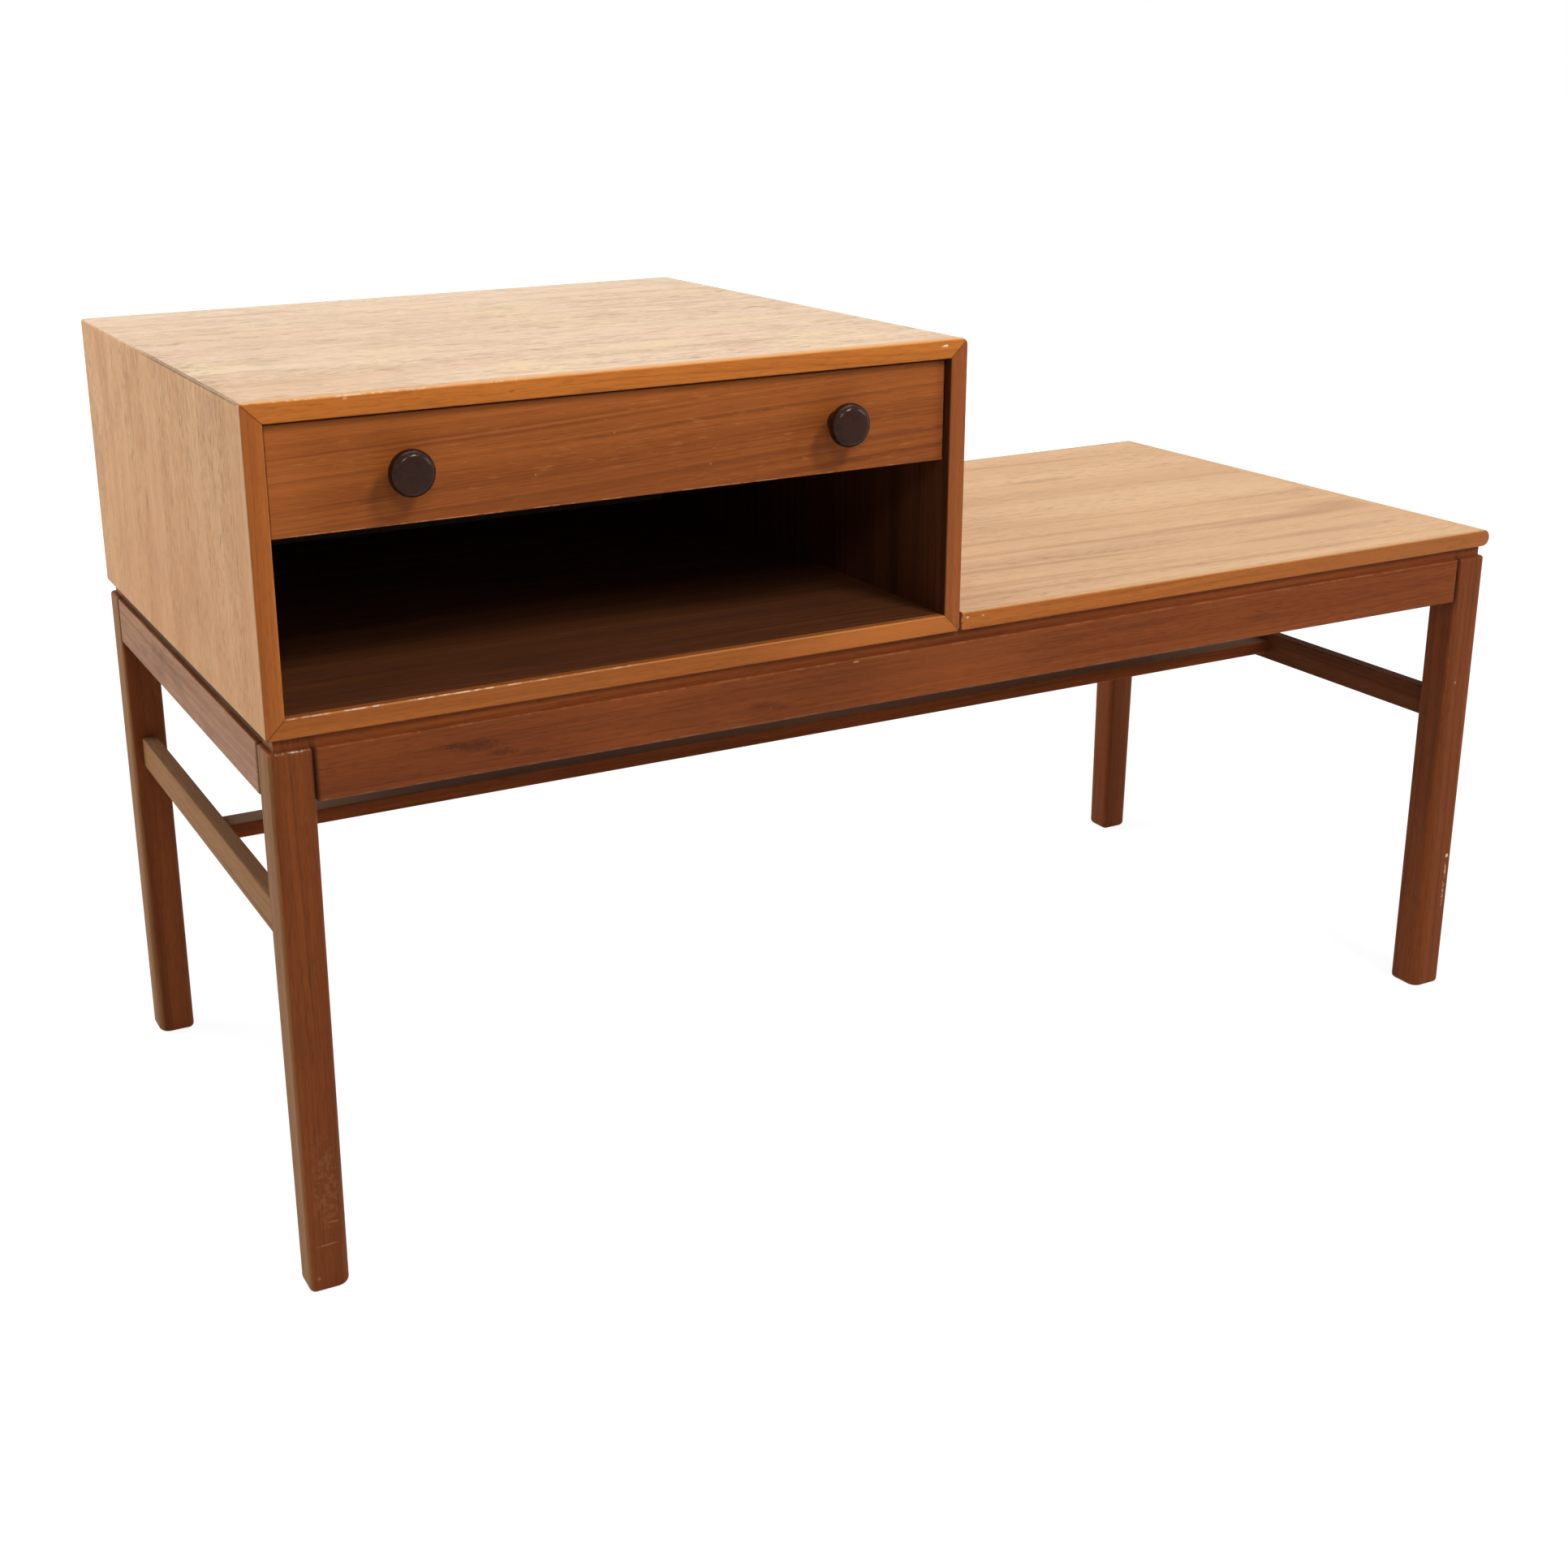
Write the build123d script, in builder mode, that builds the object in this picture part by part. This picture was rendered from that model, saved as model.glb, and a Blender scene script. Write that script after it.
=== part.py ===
from build123d import *
import os

os.makedirs("parts", exist_ok=True)

# A telephone bench in teak: a long open frame on four legs, with a small case (one open
# compartment, one drawer) on its left half and a seat board on its right half.
# Millimetres, +Z up, front towards -Y, origin on the floor under the middle of the bench.

# ---------------------------------------------------------------- frame
frame_length = 1067.0           # over the outer faces of the legs, along X
frame_depth = 479.0             # over the outer faces of the legs, along Y
frame_height = 409.5            # floor to the underside of the seat and case
leg_side = 30.0
leg_outer_radius = 4.9          # the corner that points away from the bench
leg_rail_radius = 3.6           # the two corners beside the rails, at the rails' underside
leg_rail_foot_radius = 9.6      # the same corners at the floor
leg_inner_radius = 5.0
foot_radius = 4.2
rail_height = 46.0
rail_thickness = 20.0
rail_end_radius = 4.0           # makes the V groove with the leg's corner
rail_bottom_radius = 2.2
step_height = 8.5               # the recessed strip under the seat and case
step_depth = 4.5
leg_step_radius = 2.4
rail_step_radius = 1.3

side_stretcher_height = 25.6
side_stretcher_thickness = 12.5
long_stretcher_height = 12.0
long_stretcher_width = 22.0
stretcher_middle_z = 264.5
stretcher_radius = 1.3

support_height = 22.0           # middle bearer and glue blocks
bearer_width = 60.0
block_reach = 35.0              # along each rail, from the leg

# ---------------------------------------------------------------- joints of the frame
tenon_thickness = 8.0
tenon_setback = 9.0             # outer face of a rail to its tenon
tenon_spacing = 1.0             # between the two tenons that meet in a leg
rail_tenon_top = 14.0           # below the frame's top
rail_tenon_bottom = 6.0         # above the rail's underside
stretcher_tenon_length = 12.0
side_shoulder_x = 2.25
side_shoulder_z = 3.0
long_tenon_length = 8.0
long_shoulder_y = 3.0
long_shoulder_z = 2.0
bearer_housing = 5.0            # how far the bearer is let into the rails
joint_play = 0.1                # glue line round a tenon
joint_end_play = 0.5            # glue room past a tenon's end

# ---------------------------------------------------------------- case
case_width = 530.0
case_height = 217.5
case_overhang = 1.0             # past the left legs
back_reveal = 2.0               # case and seat end this far before the back rail's face
board_thickness = 14.0
case_left_corner_radius = 2.5   # top left
case_right_corner_radius = 5.0  # top right
case_bottom_corner_radius = 3.0
case_lip_depth = 7.0            # solid strips on the boards' front edges
case_lip_radius = 1.5
spline_thickness = 3.0          # loose tongues in the mitred corners
spline_width = 10.0
spline_setback = 8.5            # the tongue's middle behind the outer faces
spline_inset = 25.0             # from the boards' ends
back_thickness = 4.0
back_lap = 7.0                  # how far the back panel laps onto the boards
back_play = 0.5

# ---------------------------------------------------------------- drawer
drawer_recess = 6.4             # the drawer's face lies behind the case's front
drawer_gap = 1.3                # round the drawer front
drawer_front_height = 72.2
drawer_front_thickness = 14.0
drawer_front_radius = 0.7
drawer_side_thickness = 11.0
drawer_side_height = 56.0
drawer_side_length = 400.0
drawer_side_lift = 5.0          # over the underside of the drawer front
drawer_back_thickness = 10.0
drawer_back_inset = 12.0        # before the back ends of the drawer sides
drawer_back_housing = 3.0       # how far the back is let into the sides
drawer_bottom_thickness = 4.0
drawer_bottom_lift = 7.0        # over the underside of the drawer sides
drawer_bottom_housing = 4.0     # how far the bottom is let into sides and front
groove_play = 0.2
tail_count = 3                  # half-blind dovetails at each front corner
tail_length = 9.0
tail_neck = 9.0
tail_flare = 1.5
runner_length = 350.0
runner_height = 13.0
runner_play = 0.4               # between a runner and the walls of its groove
runner_groove_depth = 6.0
runner_groove_stop = 12.0       # the groove starts this far behind the drawer front
runner_stop_gap = 0.5           # between a runner's front end and the groove's end

knob_spacing = 321.0
knob_projection = 24.0
knob_radius = 15.5
knob_edge_height = 22.4
knob_rim_radius = 6.2
knob_back_radius = 2.6
knob_underside_height = 13.0
knob_underside_radius = 9.0
knob_waist_height = 7.0
knob_waist_radius = 6.6
knob_base_radius = 8.0

# ---------------------------------------------------------------- seat
seat_gap = 2.0                  # between the case and the seat
seat_overhang = 2.5             # past the right legs
seat_thickness = 14.2
seat_lip_width = 7.0            # solid strips on the front, back and left edges
seat_nose_width = 14.0          # solid rounded strip on the right edge
seat_nose_radius = 6.8
seat_edge_radius = 1.5

# ---------------------------------------------------------------- screws
screw_radius = 2.0              # frame and knob screws
screw_head_radius = 4.0
frame_screw_bite = 9.0          # into the case or the seat
knob_screw_bite = 10.0
bearer_screw_row = 20.0         # from the bearer's middle line
bearer_screw_inset = 90.0       # from the frame's front and back
small_screw_radius = 1.25       # runner, back panel and drawer bottom screws
small_screw_head_radius = 2.4
small_screw_length = 14.0
small_screw_inset = 60.0        # from the ends of what they hold
runner_screw_count = 3
back_screw_count = 3
bottom_screw_count = 4
screw_slot_width = 0.8
screw_slot_depth = 0.9
screw_play = 0.1
countersink_angle = 90.0

# ---------------------------------------------------------------- derived places: frame
knob_reach = knob_projection - drawer_recess
overall_length = case_overhang + frame_length + seat_overhang
overall_depth = knob_reach + frame_depth

left_x = -overall_length / 2
frame_left_x = left_x + case_overhang
frame_right_x = frame_left_x + frame_length
frame_middle_x = (frame_left_x + frame_right_x) / 2
front_y = -overall_depth / 2 + knob_reach
back_y = front_y + frame_depth
frame_middle_y = (front_y + back_y) / 2
board_back_y = back_y - back_reveal
step_z = frame_height - step_height
rail_z = frame_height - rail_height
support_z = frame_height - support_height

leg_middle_x = frame_left_x + leg_side / 2
leg_middle_y = front_y + leg_side / 2
leg_inner_left_x = frame_left_x + leg_side
leg_inner_right_x = frame_right_x - leg_side
leg_inner_front_y = front_y + leg_side
leg_inner_back_y = back_y - leg_side
rail_inner_x = frame_left_x + rail_thickness
rail_inner_front_y = front_y + rail_thickness
rail_inner_back_y = back_y - rail_thickness

rail_tenon_length = leg_side - tenon_setback - tenon_thickness - tenon_spacing
rail_tenon_z = rail_z + rail_tenon_bottom
rail_tenon_top_z = frame_height - rail_tenon_top
side_stretcher_x = leg_middle_x - side_stretcher_thickness / 2
side_stretcher_inner_x = leg_middle_x + side_stretcher_thickness / 2
side_stretcher_inner_right_x = 2 * frame_middle_x - side_stretcher_inner_x
side_stretcher_z = stretcher_middle_z - side_stretcher_height / 2
side_stretcher_top_z = stretcher_middle_z + side_stretcher_height / 2
long_stretcher_y = frame_middle_y - long_stretcher_width / 2
long_stretcher_back_y = frame_middle_y + long_stretcher_width / 2
long_stretcher_z = stretcher_middle_z - long_stretcher_height / 2
long_stretcher_top_z = stretcher_middle_z + long_stretcher_height / 2

# ---------------------------------------------------------------- derived places: case
case_right_x = left_x + case_width
case_top_z = frame_height + case_height
case_middle_x = left_x + case_width / 2
case_middle_z = frame_height + case_height / 2
case_lip_y = front_y + case_lip_depth
back_panel_y = board_back_y - back_thickness
inner_left_x = left_x + board_thickness
inner_right_x = case_right_x - board_thickness
inner_floor_z = frame_height + board_thickness
inner_top_z = case_top_z - board_thickness

drawer_left_x = inner_left_x + drawer_gap
drawer_right_x = inner_right_x - drawer_gap
drawer_face_y = front_y + drawer_recess
drawer_inside_y = drawer_face_y + drawer_front_thickness
drawer_front_top_z = inner_top_z - drawer_gap
drawer_front_z = drawer_front_top_z - drawer_front_height
drawer_side_z = drawer_front_z + drawer_side_lift
drawer_side_top_z = drawer_side_z + drawer_side_height
drawer_side_end_y = drawer_inside_y + drawer_side_length
drawer_side_inner_x = drawer_left_x + drawer_side_thickness
drawer_side_inner_right_x = drawer_right_x - drawer_side_thickness
drawer_bottom_z = drawer_side_z + drawer_bottom_lift
drawer_floor_z = drawer_bottom_z + drawer_bottom_thickness
drawer_back_end_y = drawer_side_end_y - drawer_back_inset
drawer_back_y = drawer_back_end_y - drawer_back_thickness
runner_groove_y = drawer_inside_y + runner_groove_stop
runner_y = runner_groove_y + runner_stop_gap
runner_end_y = runner_y + runner_length
runner_inner_x = drawer_left_x + runner_groove_depth - runner_play
runner_inner_right_x = drawer_right_x - runner_groove_depth + runner_play
runner_middle_z = (drawer_side_z + drawer_side_top_z) / 2
knob_z = (drawer_front_z + drawer_front_top_z) / 2
knob_places = {
    "left_knob": case_middle_x - knob_spacing / 2,
    "right_knob": case_middle_x + knob_spacing / 2,
}

# ---------------------------------------------------------------- derived places: seat
seat_left_x = case_right_x + seat_gap
seat_right_x = frame_right_x + seat_overhang
seat_top_z = frame_height + seat_thickness
seat_inner_left_x = seat_left_x + seat_lip_width
seat_inner_right_x = seat_right_x - seat_nose_width
seat_inner_front_y = front_y + seat_lip_width
seat_inner_back_y = board_back_y - seat_lip_width
bearer_middle_x = (case_right_x + seat_left_x) / 2

mirror_x = Plane.YZ.offset(frame_middle_x)
mirror_y = Plane.XZ.offset(-frame_middle_y)


# ---------------------------------------------------------------- helpers
def block(low, high, mode=Mode.ADD):
    """A box between two corners, for the piece that is being built."""
    size = [end - start for start, end in zip(low, high)]
    middle = [(start + end) / 2 for start, end in zip(low, high)]
    with Locations(Vector(*middle)):
        Box(*size, mode=mode)


def socket(low, high, play):
    """The room for a tenon or a panel, wider than it by its play along X, Y and Z."""
    grown_low = [start - gap for start, gap in zip(low, play)]
    grown_high = [end + gap for end, gap in zip(high, play)]
    block(grown_low, grown_high, mode=Mode.SUBTRACT)


def spread(start, end, count):
    """Even places between two ends, both included."""
    return [start + (end - start) * index / (count - 1) for index in range(count)]


def save(piece, label):
    piece.part.label = label
    export_step(piece.part, f"parts/{label}.step")


# ---------------------------------------------------------------- screws
def screw_body(radius, head_radius, length):
    """A slotted countersunk screw along -Z, the face of its head at the origin."""
    with BuildPart() as screw:
        with BuildSketch(Plane.XZ):
            with BuildLine():
                Polyline(
                    (0, 0),
                    (head_radius, 0),
                    (radius, radius - head_radius),
                    (radius, radius - length),
                    (0, -length),
                    close=True,
                )
            make_face()
        revolve(axis=Axis.Z)
        Box(2 * head_radius, screw_slot_width, 2 * screw_slot_depth, mode=Mode.SUBTRACT)
    return screw.part


def drill(places, radius, head_radius, length):
    """Countersunk holes for such screws, from the faces that hold their heads."""
    with Locations(*places):
        CounterSinkHole(
            radius + screw_play,
            head_radius + screw_play,
            length + screw_play,
            countersink_angle,
        )


def drill_frame_screws(places):
    drill(places, screw_radius, screw_head_radius, support_height + frame_screw_bite)


def drill_knob_screws(places):
    drill(places, screw_radius, screw_head_radius, drawer_front_thickness + knob_screw_bite)


def drill_small_screws(places):
    drill(places, small_screw_radius, small_screw_head_radius, small_screw_length)


def screw_set(screw, places, label):
    """Equal screws as one group of separate solids."""
    with BuildPart() as screws:
        with Locations(*places):
            add(screw)
    save(screws, label)


# The middle of the wood between the leg's inner corner and the glue block's long face.
block_screw_offset = (leg_side + (leg_side + block_reach + rail_thickness) / 2) / 2
block_screw_ys = (front_y + block_screw_offset, back_y - block_screw_offset)
bearer_screw_ys = (front_y + bearer_screw_inset, back_y - bearer_screw_inset)

case_block_screws = [
    Plane(origin=(frame_left_x + block_screw_offset, y, support_z), z_dir=(0, 0, -1))
    for y in block_screw_ys
]
seat_block_screws = [
    Plane(origin=(frame_right_x - block_screw_offset, y, support_z), z_dir=(0, 0, -1))
    for y in block_screw_ys
]
case_bearer_screws = [
    Plane(origin=(bearer_middle_x - bearer_screw_row, y, support_z), z_dir=(0, 0, -1))
    for y in bearer_screw_ys
]
seat_bearer_screws = [
    Plane(origin=(bearer_middle_x + bearer_screw_row, y, support_z), z_dir=(0, 0, -1))
    for y in bearer_screw_ys
]
runner_screw_ys = spread(
    runner_y + small_screw_inset, runner_end_y - small_screw_inset, runner_screw_count
)
left_runner_screws = [
    Plane(origin=(runner_inner_x, y, runner_middle_z), z_dir=(1, 0, 0)) for y in runner_screw_ys
]
right_runner_screws = [
    Plane(origin=(runner_inner_right_x, y, runner_middle_z), z_dir=(-1, 0, 0))
    for y in runner_screw_ys
]
back_screws = [
    Plane(origin=(x, board_back_y, z), z_dir=(0, 1, 0))
    for x in spread(
        inner_left_x + small_screw_inset, inner_right_x - small_screw_inset, back_screw_count
    )
    for z in (inner_floor_z - back_lap / 2, inner_top_z + back_lap / 2)
]
bottom_screws = [
    Plane(
        origin=(x, (drawer_back_y + drawer_back_end_y) / 2, drawer_bottom_z),
        z_dir=(0, 0, -1),
    )
    for x in spread(
        drawer_side_inner_x + small_screw_inset,
        drawer_side_inner_right_x - small_screw_inset,
        bottom_screw_count,
    )
]
knob_screws = [
    Plane(origin=(x, drawer_inside_y, knob_z), z_dir=(0, 1, 0)) for x in knob_places.values()
]

frame_screw = screw_body(screw_radius, screw_head_radius, support_height + frame_screw_bite)
knob_screw = screw_body(screw_radius, screw_head_radius, drawer_front_thickness + knob_screw_bite)
small_screw = screw_body(small_screw_radius, small_screw_head_radius, small_screw_length)

screw_set(frame_screw, case_block_screws + case_bearer_screws, "case_screws")
screw_set(frame_screw, seat_block_screws + seat_bearer_screws, "seat_screws")
screw_set(small_screw, left_runner_screws + right_runner_screws, "runner_screws")
screw_set(small_screw, back_screws, "back_panel_screws")
screw_set(small_screw, bottom_screws, "drawer_bottom_screws")
screw_set(knob_screw, knob_screws, "knob_screws")

# ---------------------------------------------------------------- tenons
# Each is a box between two corners that runs from leg to leg, through the piece it belongs to.
front_tenon = (
    (leg_inner_left_x - rail_tenon_length, front_y + tenon_setback, rail_tenon_z),
    (
        leg_inner_right_x + rail_tenon_length,
        front_y + tenon_setback + tenon_thickness,
        rail_tenon_top_z,
    ),
)
left_tenon = (
    (frame_left_x + tenon_setback, leg_inner_front_y - rail_tenon_length, rail_tenon_z),
    (
        frame_left_x + tenon_setback + tenon_thickness,
        leg_inner_back_y + rail_tenon_length,
        rail_tenon_top_z,
    ),
)
side_stretcher_tenon = (
    (
        side_stretcher_x + side_shoulder_x,
        leg_inner_front_y - stretcher_tenon_length,
        side_stretcher_z + side_shoulder_z,
    ),
    (
        side_stretcher_inner_x - side_shoulder_x,
        leg_inner_back_y + stretcher_tenon_length,
        side_stretcher_top_z - side_shoulder_z,
    ),
)
long_stretcher_tenon = (
    (
        side_stretcher_inner_x - long_tenon_length,
        long_stretcher_y + long_shoulder_y,
        long_stretcher_z + long_shoulder_z,
    ),
    (
        side_stretcher_inner_right_x + long_tenon_length,
        long_stretcher_back_y - long_shoulder_y,
        long_stretcher_top_z - long_shoulder_z,
    ),
)
bearer_box = (
    (bearer_middle_x - bearer_width / 2, rail_inner_front_y - bearer_housing, support_z),
    (bearer_middle_x + bearer_width / 2, rail_inner_back_y + bearer_housing, frame_height),
)
play_along_x = (joint_end_play, joint_play, joint_play)
play_along_y = (joint_play, joint_end_play, joint_play)

# ---------------------------------------------------------------- legs
def leg_section(z, rail_radius):
    """The leg's square outline at one height, each corner with its own radius."""
    diagonal = Axis((0, 0, 0), (1, 1, 0))
    with BuildSketch(Plane.XY.offset(z)) as section:
        with Locations((leg_middle_x, leg_middle_y)):
            Rectangle(leg_side, leg_side)
        fillet(section.vertices().sort_by(diagonal)[1:3], rail_radius)
        fillet(section.vertices().sort_by(diagonal)[0], leg_outer_radius)
        fillet(section.vertices().sort_by(diagonal)[-1], leg_inner_radius)
    return section.sketch


with BuildPart() as leg_front_left:
    loft(
        [leg_section(0, leg_rail_foot_radius), leg_section(rail_z, leg_rail_radius)],
        ruled=True,
    )
    extrude(leg_section(rail_z, leg_rail_radius), amount=step_z - rail_z)
    fillet(leg_front_left.faces().sort_by(Axis.Z)[0].edges(), foot_radius)
    fillet(leg_front_left.faces().sort_by(Axis.Z)[-1].edges(), leg_step_radius)
    with BuildSketch(Plane.XY.offset(step_z - leg_step_radius)):
        add(leg_section(0, leg_rail_radius))
        with Locations((leg_middle_x + step_depth, leg_middle_y + step_depth)):
            Rectangle(leg_side, leg_side, mode=Mode.INTERSECT)
    extrude(amount=leg_step_radius + step_height)
    socket(*front_tenon, play_along_x)
    socket(*left_tenon, play_along_y)
    socket(*side_stretcher_tenon, play_along_y)
save(leg_front_left, "leg_front_left")

with BuildPart() as leg_front_right:
    mirror(leg_front_left.part, about=mirror_x)
save(leg_front_right, "leg_front_right")

with BuildPart() as leg_back_left:
    mirror(leg_front_left.part, about=mirror_y)
save(leg_back_left, "leg_back_left")

with BuildPart() as leg_back_right:
    mirror(leg_front_right.part, about=mirror_y)
save(leg_back_right, "leg_back_right")


# ---------------------------------------------------------------- rails
def rail_body(low, high, inwards):
    """A rail rounded on its outer edges, with the recessed strip on its inner side."""
    with BuildPart() as body:
        block(low, (high[0], high[1], step_z))
        outer_face = body.faces().sort_by(inwards)[0]
        fillet(outer_face.edges().filter_by(Axis.Z), rail_end_radius)
        outer_face = body.faces().sort_by(inwards)[0]
        fillet(outer_face.edges().sort_by(Axis.Z)[0], rail_bottom_radius)
        outer_face = body.faces().sort_by(inwards)[0]
        fillet(outer_face.edges().sort_by(Axis.Z)[-1], rail_step_radius)
        strip_low = Vector(low[0], low[1], step_z - rail_step_radius) + inwards.direction * step_depth
        block(tuple(strip_low), high)
    return body.part


front_rail_body = rail_body(
    (leg_inner_left_x, front_y, rail_z),
    (leg_inner_right_x, rail_inner_front_y, frame_height),
    Axis.Y,
)
left_rail_body = rail_body(
    (frame_left_x, leg_inner_front_y, rail_z),
    (rail_inner_x, leg_inner_back_y, frame_height),
    Axis.X,
)

with BuildPart() as front_rail:
    add(front_rail_body)
    block(*front_tenon)
    socket(*bearer_box, play_along_y)
save(front_rail, "front_rail")

with BuildPart() as back_rail:
    mirror(front_rail.part, about=mirror_y)
save(back_rail, "back_rail")

with BuildPart() as left_rail:
    add(left_rail_body)
    block(*left_tenon)
save(left_rail, "left_rail")

with BuildPart() as right_rail:
    mirror(left_rail.part, about=mirror_x)
save(right_rail, "right_rail")

# ---------------------------------------------------------------- stretchers
with BuildPart() as left_stretcher:
    block(
        (side_stretcher_x, leg_inner_front_y, side_stretcher_z),
        (side_stretcher_inner_x, leg_inner_back_y, side_stretcher_top_z),
    )
    fillet(left_stretcher.edges().filter_by(Axis.Y), stretcher_radius)
    block(*side_stretcher_tenon)
    socket(*long_stretcher_tenon, play_along_x)
save(left_stretcher, "left_stretcher")

with BuildPart() as right_stretcher:
    mirror(left_stretcher.part, about=mirror_x)
save(right_stretcher, "right_stretcher")

with BuildPart() as long_stretcher:
    block(
        (side_stretcher_inner_x, long_stretcher_y, long_stretcher_z),
        (side_stretcher_inner_right_x, long_stretcher_back_y, long_stretcher_top_z),
    )
    fillet(long_stretcher.edges().filter_by(Axis.X), stretcher_radius)
    block(*long_stretcher_tenon)
save(long_stretcher, "long_stretcher")

# ---------------------------------------------------------------- bearer and glue blocks
with BuildPart() as middle_bearer:
    block(*bearer_box)
    drill_frame_screws(case_bearer_screws + seat_bearer_screws)
save(middle_bearer, "middle_bearer")

with BuildPart() as block_front_left:
    with BuildSketch(Plane.XY.offset(support_z)):
        with BuildLine():
            Polyline(
                (rail_inner_x, rail_inner_front_y),
                (leg_inner_left_x + block_reach, rail_inner_front_y),
                (rail_inner_x, leg_inner_front_y + block_reach),
                close=True,
            )
        make_face()
        with Locations((leg_middle_x, leg_middle_y)):
            Rectangle(leg_side, leg_side, mode=Mode.SUBTRACT)
    extrude(amount=support_height)
    drill_frame_screws(case_block_screws)
save(block_front_left, "block_front_left")

with BuildPart() as block_front_right:
    mirror(block_front_left.part, about=mirror_x)
save(block_front_right, "block_front_right")

with BuildPart() as block_back_left:
    mirror(block_front_left.part, about=mirror_y)
save(block_back_left, "block_back_left")

with BuildPart() as block_back_right:
    mirror(block_front_right.part, about=mirror_y)
save(block_back_right, "block_back_right")

# ---------------------------------------------------------------- case
outer_corners = {
    "left_bottom": (left_x, frame_height),
    "right_bottom": (case_right_x, frame_height),
    "right_top": (case_right_x, case_top_z),
    "left_top": (left_x, case_top_z),
}
inner_corners = {
    "left_bottom": (inner_left_x, inner_floor_z),
    "right_bottom": (inner_right_x, inner_floor_z),
    "right_top": (inner_right_x, inner_top_z),
    "left_top": (inner_left_x, inner_top_z),
}
case_sides = {
    "top": ("left_top", "right_top"),
    "bottom": ("right_bottom", "left_bottom"),
    "left": ("left_bottom", "left_top"),
    "right": ("right_top", "right_bottom"),
}


def case_ring(start_y, end_y):
    """The case's four walls as one ring, from its front to its back."""
    with BuildSketch(Plane.XZ.offset(-end_y)) as ring:
        with Locations((case_middle_x, case_middle_z)):
            Rectangle(case_width, case_height)
            fillet(ring.vertices().group_by(Axis.Y)[-1].sort_by(Axis.X)[0], case_left_corner_radius)
            fillet(ring.vertices().group_by(Axis.X)[-1].sort_by(Axis.Y)[-1], case_right_corner_radius)
            fillet(ring.vertices().group_by(Axis.Y)[0], case_bottom_corner_radius)
            Rectangle(inner_right_x - inner_left_x, inner_top_z - inner_floor_z, mode=Mode.SUBTRACT)
    extrude(ring.sketch, amount=end_y - start_y)


def between_mitres(side):
    """Keeps the one wall of the ring that lies between two mitred corners."""
    first, second = case_sides[side]
    with BuildSketch(Plane.XZ.offset(-board_back_y)) as wall:
        with BuildLine():
            Polyline(
                outer_corners[first],
                outer_corners[second],
                inner_corners[second],
                inner_corners[first],
                close=True,
            )
        make_face()
    extrude(wall.sketch, amount=board_back_y - front_y, mode=Mode.INTERSECT)


def spline_strips(play, mode=Mode.ADD):
    """The tongues that cross the four mitres, or their slots."""
    with BuildSketch(Plane.XZ.offset(spline_inset - board_back_y - play)) as strips:
        for x, outwards_x in ((left_x, 1), (case_right_x, -1)):
            for z, outwards_z in ((frame_height, 1), (case_top_z, -1)):
                middle = (x + outwards_x * spline_setback, z + outwards_z * spline_setback)
                with Locations(middle):
                    Rectangle(
                        spline_width + 2 * play,
                        spline_thickness + 2 * play,
                        rotation=-45 * outwards_x * outwards_z,
                    )
    length = board_back_y - case_lip_y - 2 * spline_inset + 2 * play
    extrude(strips.sketch, amount=length, mode=mode)


with BuildPart() as boards:
    case_ring(case_lip_y, board_back_y)
    socket(
        (inner_left_x - back_lap, back_panel_y, inner_floor_z - back_lap),
        (inner_right_x + back_lap, board_back_y, inner_top_z + back_lap),
        (0, 0, 0),
    )
    spline_strips(joint_play, mode=Mode.SUBTRACT)
    drill_frame_screws(case_block_screws + case_bearer_screws)
    drill_small_screws(left_runner_screws + right_runner_screws + back_screws)

with BuildPart() as lips:
    case_ring(front_y, case_lip_y)
    fillet(lips.faces().sort_by(Axis.Y)[0].edges(), case_lip_radius)

for side in case_sides:
    with BuildPart() as board:
        add(boards.part)
        between_mitres(side)
    save(board, f"case_{side}")
    with BuildPart() as lip:
        add(lips.part)
        between_mitres(side)
    save(lip, f"case_{side}_lip")

with BuildPart() as case_splines:
    spline_strips(0)
save(case_splines, "case_splines")

with BuildPart() as case_back:
    block(
        (
            inner_left_x - back_lap + back_play,
            back_panel_y,
            inner_floor_z - back_lap + back_play,
        ),
        (
            inner_right_x + back_lap - back_play,
            board_back_y,
            inner_top_z + back_lap - back_play,
        ),
    )
    drill_small_screws(back_screws)
save(case_back, "case_back")

# ---------------------------------------------------------------- drawer runners
runner_half_height = runner_height / 2

with BuildPart() as left_runner:
    block(
        (inner_left_x, runner_y, runner_middle_z - runner_half_height),
        (runner_inner_x, runner_end_y, runner_middle_z + runner_half_height),
    )
    drill_small_screws(left_runner_screws)
save(left_runner, "left_runner")

with BuildPart() as right_runner:
    block(
        (runner_inner_right_x, runner_y, runner_middle_z - runner_half_height),
        (inner_right_x, runner_end_y, runner_middle_z + runner_half_height),
    )
    drill_small_screws(right_runner_screws)
save(right_runner, "right_runner")

# ---------------------------------------------------------------- drawer
drawer_bottom_box = (
    (drawer_side_inner_x - drawer_bottom_housing, drawer_inside_y, drawer_bottom_z),
    (drawer_side_inner_right_x + drawer_bottom_housing, drawer_side_end_y, drawer_floor_z),
)
drawer_bottom_tongue = (
    (drawer_side_inner_x, drawer_inside_y - drawer_bottom_housing, drawer_bottom_z),
    (drawer_side_inner_right_x, drawer_inside_y, drawer_floor_z),
)
drawer_back_box = (
    (drawer_side_inner_x - drawer_back_housing, drawer_back_y, drawer_floor_z),
    (
        drawer_side_inner_right_x + drawer_back_housing,
        drawer_back_end_y,
        drawer_side_top_z,
    ),
)
groove_room = (groove_play, groove_play, groove_play)


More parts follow.
